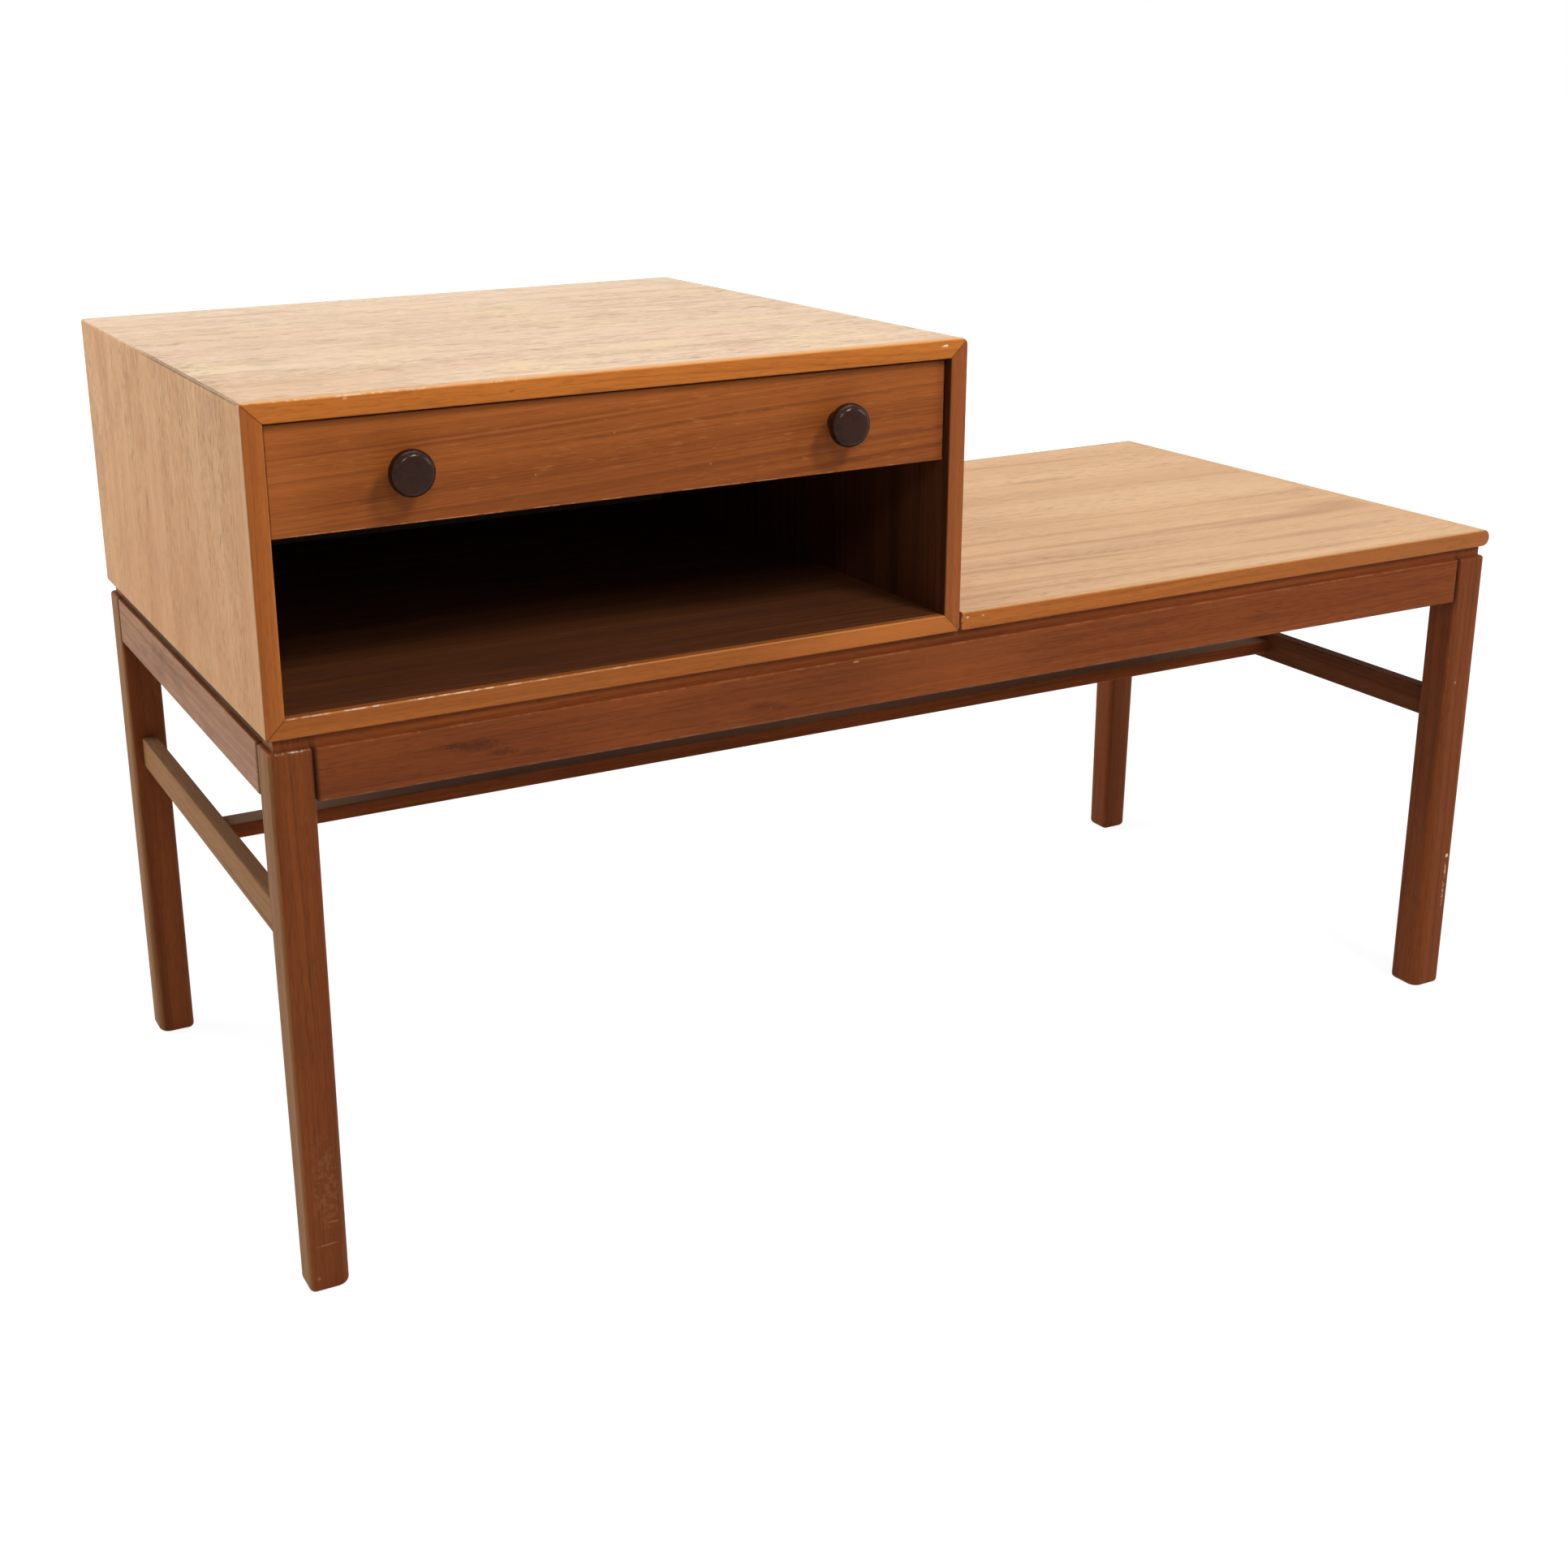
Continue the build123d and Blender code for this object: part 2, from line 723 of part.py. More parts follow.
def tails(start_x, play, mode=Mode.ADD):
    """The dovetails at a side's front end, or their sockets in the drawer front."""
    pitch = drawer_side_height / tail_count
    half_neck = tail_neck / 2 + play
    tip_y = drawer_inside_y - tail_length - play
    with BuildSketch(Plane.YZ.offset(start_x)) as outlines:
        for index in range(tail_count):
            z = drawer_side_z + pitch * (index + 0.5)
            with BuildLine():
                Polyline(
                    (drawer_inside_y, z - half_neck),
                    (tip_y, z - half_neck - tail_flare),
                    (tip_y, z + half_neck + tail_flare),
                    (drawer_inside_y, z + half_neck),
                    close=True,
                )
            make_face()
    extrude(outlines.sketch, amount=drawer_side_thickness, mode=mode)


with BuildPart() as drawer_front:
    block(
        (drawer_left_x, drawer_face_y, drawer_front_z),
        (drawer_right_x, drawer_inside_y, drawer_front_top_z),
    )
    fillet(drawer_front.faces().sort_by(Axis.Y)[0].edges(), drawer_front_radius)
    tails(drawer_left_x, joint_play, mode=Mode.SUBTRACT)
    tails(drawer_side_inner_right_x, joint_play, mode=Mode.SUBTRACT)
    socket(*drawer_bottom_tongue, groove_room)
    drill_knob_screws(knob_screws)
save(drawer_front, "drawer_front")

with BuildPart() as drawer_left_side:
    block(
        (drawer_left_x, drawer_inside_y, drawer_side_z),
        (drawer_side_inner_x, drawer_side_end_y, drawer_side_top_z),
    )
    tails(drawer_left_x, 0)
    block(
        (drawer_left_x, runner_groove_y, runner_middle_z - runner_half_height - runner_play),
        (
            drawer_left_x + runner_groove_depth,
            drawer_side_end_y,
            runner_middle_z + runner_half_height + runner_play,
        ),
        mode=Mode.SUBTRACT,
    )
    socket(*drawer_bottom_box, groove_room)
    socket(*drawer_back_box, groove_room)
save(drawer_left_side, "drawer_left_side")

with BuildPart() as drawer_right_side:
    mirror(drawer_left_side.part, about=Plane.YZ.offset(case_middle_x))
save(drawer_right_side, "drawer_right_side")

with BuildPart() as drawer_back:
    block(*drawer_back_box)
    drill_small_screws(bottom_screws)
save(drawer_back, "drawer_back")

with BuildPart() as drawer_bottom:
    block(*drawer_bottom_box)
    block(*drawer_bottom_tongue)
    drill_small_screws(bottom_screws)
save(drawer_bottom, "drawer_bottom")

# ---------------------------------------------------------------- knobs
for label, x in knob_places.items():
    knob_foot = Plane(origin=(x, drawer_face_y, knob_z), x_dir=(1, 0, 0), z_dir=(0, 0, -1))
    with BuildPart() as knob:
        with BuildSketch(knob_foot) as section:
            with BuildLine():
                Line((0, 0), (knob_base_radius, 0))
                ThreePointArc(
                    (knob_base_radius, 0),
                    (knob_waist_radius, knob_waist_height),
                    (knob_underside_radius, knob_underside_height),
                )
                Line(
                    (knob_underside_radius, knob_underside_height),
                    (knob_radius, knob_underside_height),
                )
                Line((knob_radius, knob_underside_height), (knob_radius, knob_edge_height))
                TangentArc((0, knob_projection), (knob_radius, knob_edge_height), tangent=(1, 0))
                Line((0, knob_projection), (0, 0))
            make_face()
            fillet(section.vertices().group_by(Axis.X)[-1].sort_by(Axis.Y)[0], knob_back_radius)
            fillet(section.vertices().group_by(Axis.X)[-1].sort_by(Axis.Y)[-1], knob_rim_radius)
        revolve(axis=Axis((x, drawer_face_y, knob_z), (0, -1, 0)))
        drill_knob_screws(knob_screws)
    save(knob, label)

# ---------------------------------------------------------------- seat
with BuildPart() as seat_blank:
    block((seat_left_x, front_y, frame_height), (seat_right_x, board_back_y, seat_top_z))
    right_face = seat_blank.faces().sort_by(Axis.X)[-1]
    fillet(right_face.edges().filter_by(Axis.Y), seat_nose_radius)
    front_face = seat_blank.faces().sort_by(Axis.Y)[0]
    back_face = seat_blank.faces().sort_by(Axis.Y)[-1]
    left_face = seat_blank.faces().sort_by(Axis.X)[0]
    left_edges = left_face.edges().filter_by(Axis.Y)
    fillet(front_face.edges() + back_face.edges() + left_edges, seat_edge_radius)
    drill_frame_screws(seat_block_screws + seat_bearer_screws)

seat_pieces = {
    "seat_panel": (
        (seat_inner_left_x, seat_inner_front_y, frame_height),
        (seat_inner_right_x, seat_inner_back_y, seat_top_z),
    ),
    "seat_front_lip": (
        (seat_left_x, front_y, frame_height),
        (seat_right_x, seat_inner_front_y, seat_top_z),
    ),
    "seat_back_lip": (
        (seat_left_x, seat_inner_back_y, frame_height),
        (seat_right_x, board_back_y, seat_top_z),
    ),
    "seat_left_lip": (
        (seat_left_x, seat_inner_front_y, frame_height),
        (seat_inner_left_x, seat_inner_back_y, seat_top_z),
    ),
    "seat_nose": (
        (seat_inner_right_x, seat_inner_front_y, frame_height),
        (seat_right_x, seat_inner_back_y, seat_top_z),
    ),
}
for label, corners in seat_pieces.items():
    with BuildPart() as seat_piece:
        add(seat_blank.part)
        block(*corners, mode=Mode.INTERSECT)
    save(seat_piece, label)
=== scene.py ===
import math

import bpy
from mathutils import Matrix, Vector


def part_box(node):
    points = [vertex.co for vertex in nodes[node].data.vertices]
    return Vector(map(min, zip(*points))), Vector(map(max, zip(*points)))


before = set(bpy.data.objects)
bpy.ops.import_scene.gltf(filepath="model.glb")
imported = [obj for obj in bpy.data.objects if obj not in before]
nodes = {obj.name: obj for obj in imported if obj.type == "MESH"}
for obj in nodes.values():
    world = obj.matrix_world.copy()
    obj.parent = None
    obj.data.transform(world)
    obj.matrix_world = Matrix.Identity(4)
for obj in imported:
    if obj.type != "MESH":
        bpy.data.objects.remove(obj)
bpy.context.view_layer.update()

MM = 1000  # millimetres in a metre


# ---------------------------------------------------------------- shader helpers
def tone(red, green, blue):
    """A colour written as 0 to 255, as the screen shows it."""
    shares = [value / 255 for value in (red, green, blue)]
    linear = [
        share / 12.92 if share <= 0.04045 else ((share + 0.055) / 1.055) ** 2.4
        for share in shares
    ]
    return (*linear, 1.0)


def grey(value):
    """The same linear value for red, green and blue."""
    return (value, value, value, 1.0)


class Shading:
    """The nodes of one material. Most methods add nodes and return what the last one gives out."""

    def __init__(self, name):
        self.material = bpy.data.materials.new(name)
        self.material.use_nodes = True
        self.tree = self.material.node_tree
        self.shader = self.tree.nodes["Principled BSDF"]
        coordinates = self.add("ShaderNodeTexCoord")
        self.place = coordinates.outputs["Object"]
        self.outwards = coordinates.outputs["Normal"]

    def add(self, kind, values=(), **settings):
        node = self.tree.nodes.new(kind)
        for key, value in settings.items():
            setattr(node, key, value)
        for socket, value in dict(values).items():
            self.plug(node.inputs[socket], value)
        return node

    def plug(self, socket, value):
        """Links a socket to another node's output, or sets it to a plain value."""
        if isinstance(value, bpy.types.NodeSocket):
            self.tree.links.new(value, socket)
        else:
            socket.default_value = value

    def math(self, operation, *values):
        return self.add("ShaderNodeMath", enumerate(values), operation=operation).outputs[0]

    def vector(self, operation, *values):
        node = self.add("ShaderNodeVectorMath", enumerate(values), operation=operation)
        return node.outputs["Value" if operation in ("LENGTH", "DOT_PRODUCT") else "Vector"]

    def xyz(self, value):
        """The X, Y and Z of a place or direction."""
        return self.add("ShaderNodeSeparateXYZ", {0: value}).outputs

    def noise(self, place, detail=2.0, roughness=0.5, distortion=0.0):
        values = {"Vector": place, "Scale": 1.0, "Detail": detail}
        values |= {"Roughness": roughness, "Distortion": distortion}
        return self.add("ShaderNodeTexNoise", values).outputs["Fac"]

    def even_noise(self, bits, detail=2.0, roughness=0.5):
        """Noise that is alike in all directions, with that many bits to the metre."""
        return self.noise(self.vector("MULTIPLY", self.place, (bits, bits, bits)), detail, roughness)

    def ease(self, value, start, end, low=0.0, high=1.0):
        """A smooth step of value from start to end, between low and high."""
        values = {"Value": value, "From Min": start, "From Max": end, "To Min": low, "To Max": high}
        node = self.add("ShaderNodeMapRange", values, interpolation_type="SMOOTHSTEP")
        return node.outputs["Result"]

    def mix(self, share, first, second, blend="MIX"):
        node = self.add("ShaderNodeMix", data_type="RGBA", blend_type=blend)
        for socket, value in ((0, share), (6, first), (7, second)):
            self.plug(node.inputs[socket], value)
        return node.outputs[2]

    def bump(self, height, strength, distance):
        values = {"Height": height, "Strength": strength, "Distance": distance}
        self.plug(self.shader.inputs["Normal"], self.add("ShaderNodeBump", values).outputs["Normal"])

    def dress(self, node):
        """Gives this material, and no other, to a piece."""
        shown = nodes[node]
        shown.data.materials.clear()
        shown.data.materials.append(self.material)


GRAIN_ORDER = {"x": (0, 1, 2), "y": (1, 2, 0), "z": (2, 0, 1)}  # the grain's own axis first
SEED_STEP = (1.37, 0.613, 0.417)  # metres in the tree from one piece to the next
BUMP_DEPTH = 0.3 / MM


class Wood(Shading):
    """Wood whose bands, rings, lines and pores all flow along its grain. Each method lays one
    thing over the colour so far, as strong as its share. Along and across say how many bits it
    has to the metre, and start and end how much of the noise shows: lower ones show more."""

    def __init__(self, node, axis, seed, rings=150.0, sway=5.0, heart=None, lean=(0.0, 0.0)):
        """It has that many rings to the metre, and they wander by about sway rings. The heart of
        the tree, if it is given, is that far across the grain from the piece's middle, in metres,
        and moves by lean along the grain. Otherwise the seed alone decides where it is."""
        super().__init__(node + "_wood")
        self.node = node
        order = GRAIN_ORDER[axis]
        offset = tuple(seed * step for step in SEED_STEP)
        turned = self.add("ShaderNodeCombineXYZ", enumerate(self.xyz(self.place)[i] for i in order))
        self.grain = self.vector("ADD", turned.outputs[0], offset)
        wave = self.noise(self.straight(along=1.3, across=5.0), detail=3.0, roughness=0.45)
        self.run = self.xyz(self.grain)[0]
        from_heart = self.grain
        if heart is not None:
            middle = sum(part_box(node), Vector()) / 2
            centre = tuple(middle[i] + offset[k] + (0.0, *heart)[k] for k, i in enumerate(order))
            from_heart = self.vector("SUBTRACT", self.grain, centre)
            leaning = self.vector("SCALE", (0.0, *lean))
            self.plug(leaning.node.inputs["Scale"], self.xyz(from_heart)[0])
            from_heart = self.vector("SUBTRACT", from_heart, leaning)
        from_heart = self.vector("MULTIPLY", from_heart, (0.0, 1.0, 1.0))
        reach = self.math("MULTIPLY", self.vector("LENGTH", from_heart), rings)
        self.phase = self.math("ADD", reach, self.math("MULTIPLY", wave, sway))
        self.bands = self.colour = self.fine = self.pore = None

    def flow(self, along, across):
        """Places in the board's own flow: along its grain, and across its rings."""
        values = {0: self.math("MULTIPLY", self.run, along), 1: self.math("MULTIPLY", self.phase, across)}
        return self.add("ShaderNodeCombineXYZ", values).outputs[0]

    def straight(self, along, across):
        """Places along the grain and across it, whatever the rings do."""
        return self.vector("MULTIPLY", self.grain, (along, across, across))

    def lay(self, share, colour):
        self.colour = self.mix(share, self.colour, colour)

    def darken(self, share, factor):
        self.colour = self.mix(share, self.colour, grey(factor), "MULTIPLY")

    def base(self, light, dark):
        """The first colour: wide bands of a light and a dark tone."""
        self.bands = self.noise(self.flow(along=0.9, across=0.33), detail=3.0, roughness=0.6)
        self.colour = self.mix(self.ease(self.bands, 0.34, 0.66), light, dark)

    def facing(self, direction, colour, share, start=0.45, end=0.85):
        """Another colour on the faces that look one way, such as faded tops, and painted shade on faces
        turned from the light.
        """
        towards = self.vector("DOT_PRODUCT", self.outwards, direction)
        self.lay(self.ease(towards, start, end, high=share), colour)

    def inside(self, direction, share=1.0):
        """The darker wood of the faces that look into the case: partly less faded wood, partly painted
        shade.
        """
        colour = self.mix(self.ease(self.bands, 0.4, 0.6), INSIDE_UNFADED_AND_SHADED, INSIDE_DARK_UNFADED_AND_SHADED)
        drawn = self.noise(self.flow(along=2.6, across=2.4), detail=3.0, roughness=0.6)
        colour = self.mix(self.ease(drawn, 0.48, 0.66, high=0.4), colour, tone(44, 24, 13))
        self.facing(direction, colour, share)

    def patches(self, colour, share, along, across):
        """Patches without a pattern, longer along the grain."""
        place = self.straight(along, across)
        area = self.noise(place, detail=4.0, roughness=0.6, distortion=0.3)
        self.lay(self.ease(area, 0.48, 0.66, high=share), colour)

    def year_rings(self, colour, share, start=0.2):
        """Dark late wood at the end of each ring, stronger in some rings and in places worn away."""
        ring = self.math("FRACT", self.phase)
        line = self.math("MULTIPLY", self.ease(ring, start, 0.88), self.ease(ring, 1.0, 0.92))
        number = {"W": self.math("FLOOR", self.phase)}
        each = self.add("ShaderNodeTexWhiteNoise", number, noise_dimensions="1D")
        line = self.math("MULTIPLY", line, self.ease(each.outputs["Value"], 0.1, 1.0, low=0.1))
        patchy = self.noise(self.straight(along=4.0, across=30.0), detail=3.0, roughness=0.6)
        line = self.math("MULTIPLY", line, self.ease(patchy, 0.36, 0.62, low=0.25))
        self.lay(self.math("MULTIPLY", line, share), colour)

    def lines(self, colour, share, along=3.0, across=3.5, start=0.5, end=0.64):
        """Long fine lines that follow the rings. Here across counts bits to the ring."""
        drawn = self.noise(self.flow(along, across), detail=4.0, roughness=0.62)
        self.lay(self.ease(drawn, start, end, high=share), colour)

    def dashes(self, colour, share, along=60.0, across=620.0, start=0.56, end=0.68):
        """Short dashes, which crowd together in places."""
        place = self.straight(along, across)
        dash = self.ease(self.noise(place, detail=2.0, roughness=0.55, distortion=0.2), start, end)
        crowd = self.noise(self.flow(along=2.2, across=0.5), detail=3.0, roughness=0.6)
        crowd = self.ease(crowd, 0.36, 0.62, low=0.15 * share, high=share)
        self.lay(self.math("MULTIPLY", dash, crowd), colour)

    def fibres(self, share, pores):
        """The finest threads of the wood, and its pores with a share of their own."""
        self.fine = self.noise(self.straight(along=26.0, across=620.0), detail=3.0, roughness=0.6)
        self.darken(self.ease(self.fine, 0.42, 0.66, high=share), factor=0.62)
        pricks = self.noise(self.straight(along=95.0, across=1500.0), detail=1.0, roughness=0.4)
        self.pore = self.ease(pricks, 0.56, 0.66)
        self.darken(self.math("MULTIPLY", self.pore, pores), factor=0.42)

    def edges(self, colour, share, width=2.5):
        """Rubbed edges: the colour comes over the last width (in mm) before the piece's edges."""
        low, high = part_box(self.node)
        inside = self.vector("SUBTRACT", self.place, tuple((low + high) / 2))
        inside = self.vector("SUBTRACT", self.vector("ABSOLUTE", inside), tuple((high - low) / 2))
        x, y, z = self.xyz(inside)
        upper = self.math("MAXIMUM", x, y)
        second = self.math("MAXIMUM", self.math("MINIMUM", x, y), self.math("MINIMUM", upper, z))
        near = self.ease(second, -width / MM, 0.0)
        rubbed = self.ease(self.even_noise(140.0, detail=3.0, roughness=0.65), 0.4, 0.62, high=share)
        self.lay(self.math("MULTIPLY", near, rubbed), colour)

    def mark(self, centre, half, colour, share, turn=0.0, ragged=0.8, soft=0.15, broken=None,
             straight=False):
        """One round mark, with its centre and half sizes in mm, turned about Y. Its outline is
        ragged and soft by those amounts, and it can be broken into that many bits to the metre."""
        local = self.add("ShaderNodeMapping", {
            "Vector": self.place, "Location": [value / MM for value in centre],
            "Rotation": (0.0, turn, 0.0), "Scale": [value / MM for value in half],
        }, vector_type="TEXTURE").outputs[0]
        if straight:
            x, y, z = self.xyz(self.vector("ABSOLUTE", local))
            reach = self.math("MAXIMUM", self.math("MAXIMUM", x, y), z)
        else:
            reach = self.vector("LENGTH", local)
        rough = self.math("SUBTRACT", self.even_noise(500.0, roughness=0.6), 0.5)
        rough = self.math("MULTIPLY", rough, ragged)
        there = self.ease(self.math("ADD", reach, rough), 1.0 + soft, 1.0 - soft, high=share)
        if broken is not None:
            bits = self.even_noise(broken, detail=3.0, roughness=0.65)
            there = self.math("MULTIPLY", there, self.ease(bits, 0.46, 0.58))
        self.lay(there, colour)

    def bar(self, centre, half, colour, share, **outline):
        """A mark with straight sides, such as a line along an edge."""
        self.mark(centre, half, colour, share, straight=True, **outline)

    def shade(self, centre, half, colour, share):
        """A wide soft patch of another tone."""
        self.mark(centre, half, colour, share, ragged=0.4, soft=0.9)

    def finish(self, rough=(0.45, 0.6), gloss=0.14, strength=0.25):
        """Hands the colour over, with the roughness of the light and dark bands and the bump."""
        self.plug(self.shader.inputs["Base Color"], self.colour)
        self.plug(self.shader.inputs["Roughness"], self.ease(self.bands, 0.3, 0.7, *rough))
        self.shader.inputs["Specular IOR Level"].default_value = gloss
        height = self.math("SUBTRACT", self.math("MULTIPLY", self.fine, 0.5), self.pore)
        self.bump(height, strength, BUMP_DEPTH)
        self.dress(self.node)


# ---------------------------------------------------------------- places for marks, in mm
def corners(node):
    """The low and the high corner of a piece's box, in mm."""
    return [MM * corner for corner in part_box(node)]


CASE_LEFT = corners("case_left_lip")[0].x
FRONT = corners("case_left_lip")[0].y
CASE_RIGHT = corners("case_right_lip")[1].x
CASE_MIDDLE = (CASE_LEFT + CASE_RIGHT) / 2
CASE_BOTTOM = corners("case_bottom")[0].z
CASE_TOP = corners("case_top")[1].z
BOARD = CASE_TOP - corners("case_top")[0].z
LIP_BACK = corners("case_left")[0].y
SEAT_TOP = corners("seat_panel")[1].z
LEDGE = 401.0  # where the outer faces of legs and rails end, under the recessed strip
GROOVE, GROOVE_HALF = 382.0, 22.0  # the middle and half height of the dirt and painted shade in the V grooves
MITRE = math.radians(45.0)

UP, DOWN = (0.0, 0.0, 1.0), (0.0, 0.0, -1.0)
LEFT, RIGHT = (-1.0, 0.0, 0.0), (1.0, 0.0, 0.0)
FORWARDS, BACKWARDS = (0.0, -1.0, 0.0), (0.0, 1.0, 0.0)

# ---------------------------------------------------------------- tones used more than once
DIRT = tone(92, 66, 44)
# Pale bare wood at worn edges, partly a painted highlight.
WORN_AND_GLINT = tone(246, 226, 198)
SCRAPED = tone(104, 78, 56)
KNOT = tone(96, 58, 34)
# Tones of the faces inside the case and under things: partly unfaded wood, partly painted shade.
INSIDE_UNFADED_AND_SHADED = tone(96, 53, 29)
INSIDE_DARK_UNFADED_AND_SHADED = tone(80, 43, 23)
FRAME_TONES = tone(145, 75, 34), tone(126, 62, 28)
LEG_TAN = tone(144, 99, 56)
# The sun has faded what looks left on these pieces.
FADED = {
    "leg_front_left": LEG_TAN,
    "leg_back_left": LEG_TAN,
    "left_rail": tone(165, 122, 91),
    "left_stretcher": tone(154, 113, 72),
}
MATT = dict(rough=(0.6, 0.75), gloss=0.08)
FRAME_FINISH = dict(rough=(0.5, 0.65), gloss=0.09)
BARE = dict(rough=(0.55, 0.7), gloss=0.12)


# ---------------------------------------------------------------- the woods
def case_top(wood):
    wood.base(tone(226, 200, 172), tone(220, 191, 163))
    wood.patches(tone(228, 202, 164), 0.7, along=9.0, across=11.0)
    wood.patches(tone(226, 192, 168), 0.6, along=14.0, across=16.0)
    wood.patches(tone(204, 176, 148), 0.5, along=16.0, across=30.0)
    wood.lines(tone(190, 148, 118), 0.2, along=8.0, across=3.0)
    wood.dashes(tone(128, 92, 68), 0.4, along=110.0, across=760.0, start=0.52, end=0.64)
    wood.dashes(tone(112, 80, 58), 0.4, along=50.0, across=420.0, start=0.57, end=0.68)
    wood.dashes(tone(176, 138, 112), 0.45, along=60.0, across=150.0, start=0.55, end=0.68)
    wood.fibres(0.16, pores=0.22)
    veins = ((-445.0, 193.0, 52.0), (-398.0, 199.0, 30.0), (-269.0, 178.5, 26.0), (-120.0, 120.0, 30.0))
    for x, y, long in veins:
        wood.mark((x, y, CASE_TOP), (long, 2.6, 2.0), tone(176, 116, 90), 0.45, ragged=1.8, soft=0.6)
    stains = ((-478.0, -60.0, 8.0, 36.0), (-470.0, -150.0, 12.0, 30.0), (-430.0, -196.0, 16.0, 9.0))
    for x, y, wide, deep in stains:
        wood.mark((x, y, CASE_TOP), (wide, deep, 2.0), tone(186, 168, 144), 0.5,
                  ragged=1.6, soft=0.5, broken=90.0)
    # The left edge is scraped.
    wood.mark((CASE_LEFT + 7.0, -95.0, CASE_TOP), (9.0, 118.0, 2.0), tone(148, 130, 106), 0.4,
              soft=0.6, broken=140.0)
    wood.bar((CASE_LEFT + 1.4, -96.0, CASE_TOP - 0.5), (0.6, 126.0, 1.6), SCRAPED, 0.7,
             ragged=1.2, soft=0.4)
    # Dirt lies where the top meets its lip.
    wood.bar((CASE_LEFT + 90.0, LIP_BACK + 0.2, CASE_TOP), (90.0, 0.45, 1.0), DIRT, 0.6)
    wood.bar((CASE_MIDDLE, LIP_BACK + 0.2, CASE_TOP), (262.0, 0.35, 1.0), DIRT, 0.4, broken=30.0)
    wood.shade((-492.0, -190.0, CASE_TOP), (80.0, 60.0, 3.0), tone(196, 152, 110), 0.3)
    # Painted light: the back of the top is lighter.
    wood.shade((CASE_MIDDLE, 225.0, CASE_TOP), (300.0, 80.0, 3.0), tone(246, 224, 200), 0.2)
    wood.edges(tone(190, 160, 128), 0.3, width=2.0)
    # The underside: partly unfaded wood, partly painted shade.
    wood.inside(DOWN)
    wood.finish(**MATT)


def case_side(wood):
    wood.base(tone(225, 179, 134), tone(213, 165, 122))
    wood.patches(tone(220, 184, 136), 0.6, along=7.0, across=10.0)
    wood.patches(tone(196, 150, 112), 0.5, along=12.0, across=20.0)
    wood.patches(tone(228, 184, 144), 0.5, along=20.0, across=26.0)
    wood.lines(tone(170, 122, 82), 0.18, along=4.0, across=3.6)
    wood.dashes(tone(128, 88, 58), 0.55, along=110.0, across=700.0, start=0.52, end=0.64)
    wood.dashes(tone(150, 106, 72), 0.35, along=60.0, across=220.0, start=0.56, end=0.7)
    wood.fibres(0.2, pores=0.28)
    if wood.node == "case_left":
        # Painted shade: the outer face is darker and yellower towards the bottom.
        wood.mark((CASE_LEFT, 0.0, CASE_BOTTOM - 10.0), (5.0, 420.0, 140.0), tone(196, 142, 98), 0.45,
                  ragged=0.0, soft=0.95)
        # Two small knots, a fleck, and the scraped upper edge.
        wood.mark((CASE_LEFT, 58.2, 510.0), (2.0, 2.2, 12.0), tone(140, 92, 58), 0.4, ragged=1.0, soft=0.5)
        wood.mark((CASE_LEFT, 58.0, 511.0), (2.0, 0.6, 7.0), KNOT, 0.5)
        wood.mark((CASE_LEFT, -33.6, 487.7), (2.0, 0.8, 5.0), KNOT, 0.5)
        wood.mark((CASE_LEFT, -140.0, 560.0), (2.0, 0.7, 4.0), tone(110, 70, 42), 0.4)
        wood.bar((CASE_LEFT + 0.5, -96.0, CASE_TOP - 1.4), (1.0, 126.0, 0.6), SCRAPED, 0.7,
                 ragged=1.2, soft=0.4)
    wood.edges(tone(214, 178, 142), 0.14)
    # The inner face: partly unfaded wood, partly painted shade.
    wood.inside(RIGHT if wood.node == "case_left" else LEFT)
    wood.finish(**MATT)


def seat_panel(wood):
    wood.base(tone(223, 183, 143), tone(215, 173, 134))
    wood.patches(tone(204, 166, 132), 0.5, along=2.0, across=12.0)
    wood.patches(tone(228, 188, 146), 0.3, along=2.0, across=6.0)
    wood.lines(tone(170, 124, 90), 0.36, along=1.6, across=1.3, start=0.52, end=0.68)
    wood.dashes(tone(146, 104, 74), 0.4, along=60.0, across=600.0, start=0.52, end=0.66)
    veins = (
        (330.0, -96.0, 64.0, 4.0), (436.0, -106.0, 84.0, 10.0), (404.0, -164.0, 66.0, 6.0),
        (324.0, 126.0, 34.0, 6.0), (492.0, -90.0, 40.0, 12.0),
    )
    for x, y, long, deep in veins:
        wood.mark((x, y, SEAT_TOP), (long, deep, 3.0), tone(160, 118, 88), 0.4, ragged=1.2, soft=0.85)
    # The underside: partly unfaded wood, partly painted shade.
    wood.inside(DOWN, 0.8)
    wood.fibres(0.14, pores=0.16)
    wood.edges(tone(226, 190, 150), 0.2, width=2.0)
    wood.finish(**MATT)


def seat_lip(wood):
    wood.base(tone(186, 108, 44), tone(170, 94, 38))
    wood.lines(tone(120, 62, 26), 0.3, along=4.0, across=3.0)
    wood.facing(UP, tone(213, 170, 126), 1.0, start=0.6)
    wood.dashes(tone(110, 64, 32), 0.3)
    wood.fibres(0.2, pores=0.25)
    wood.edges(tone(208, 156, 104), 0.3, width=1.4)
    if wood.node == "seat_front_lip":
        left, top = corners(wood.node)[0].x, SEAT_TOP
        # Chips near the left end, a dull patch, and a light line along the upper edge.
        wood.mark((left + 1.0, FRONT + 0.4, top - 7.0), (1.4, 1.6, 6.0), tone(216, 190, 162), 0.6,
                  ragged=1.4, broken=300.0)
        wood.mark((left + 4.6, FRONT, top - 4.4), (1.4, 1.0, 0.9), tone(236, 190, 150), 0.65, ragged=1.2)
        wood.mark((left + 18.6, FRONT, top - 4.6), (1.1, 1.0, 0.8), tone(230, 180, 134), 0.5, ragged=1.2)
        wood.shade((left + 470.0, FRONT, top - 7.0), (150.0, 2.0, 12.0), tone(124, 80, 50), 0.3)
        wood.bar((left + 262.0, FRONT + 0.5, top - 0.5), (262.0, 0.7, 0.7), tone(210, 152, 96), 0.5,
                 ragged=0.5)
    wood.finish()


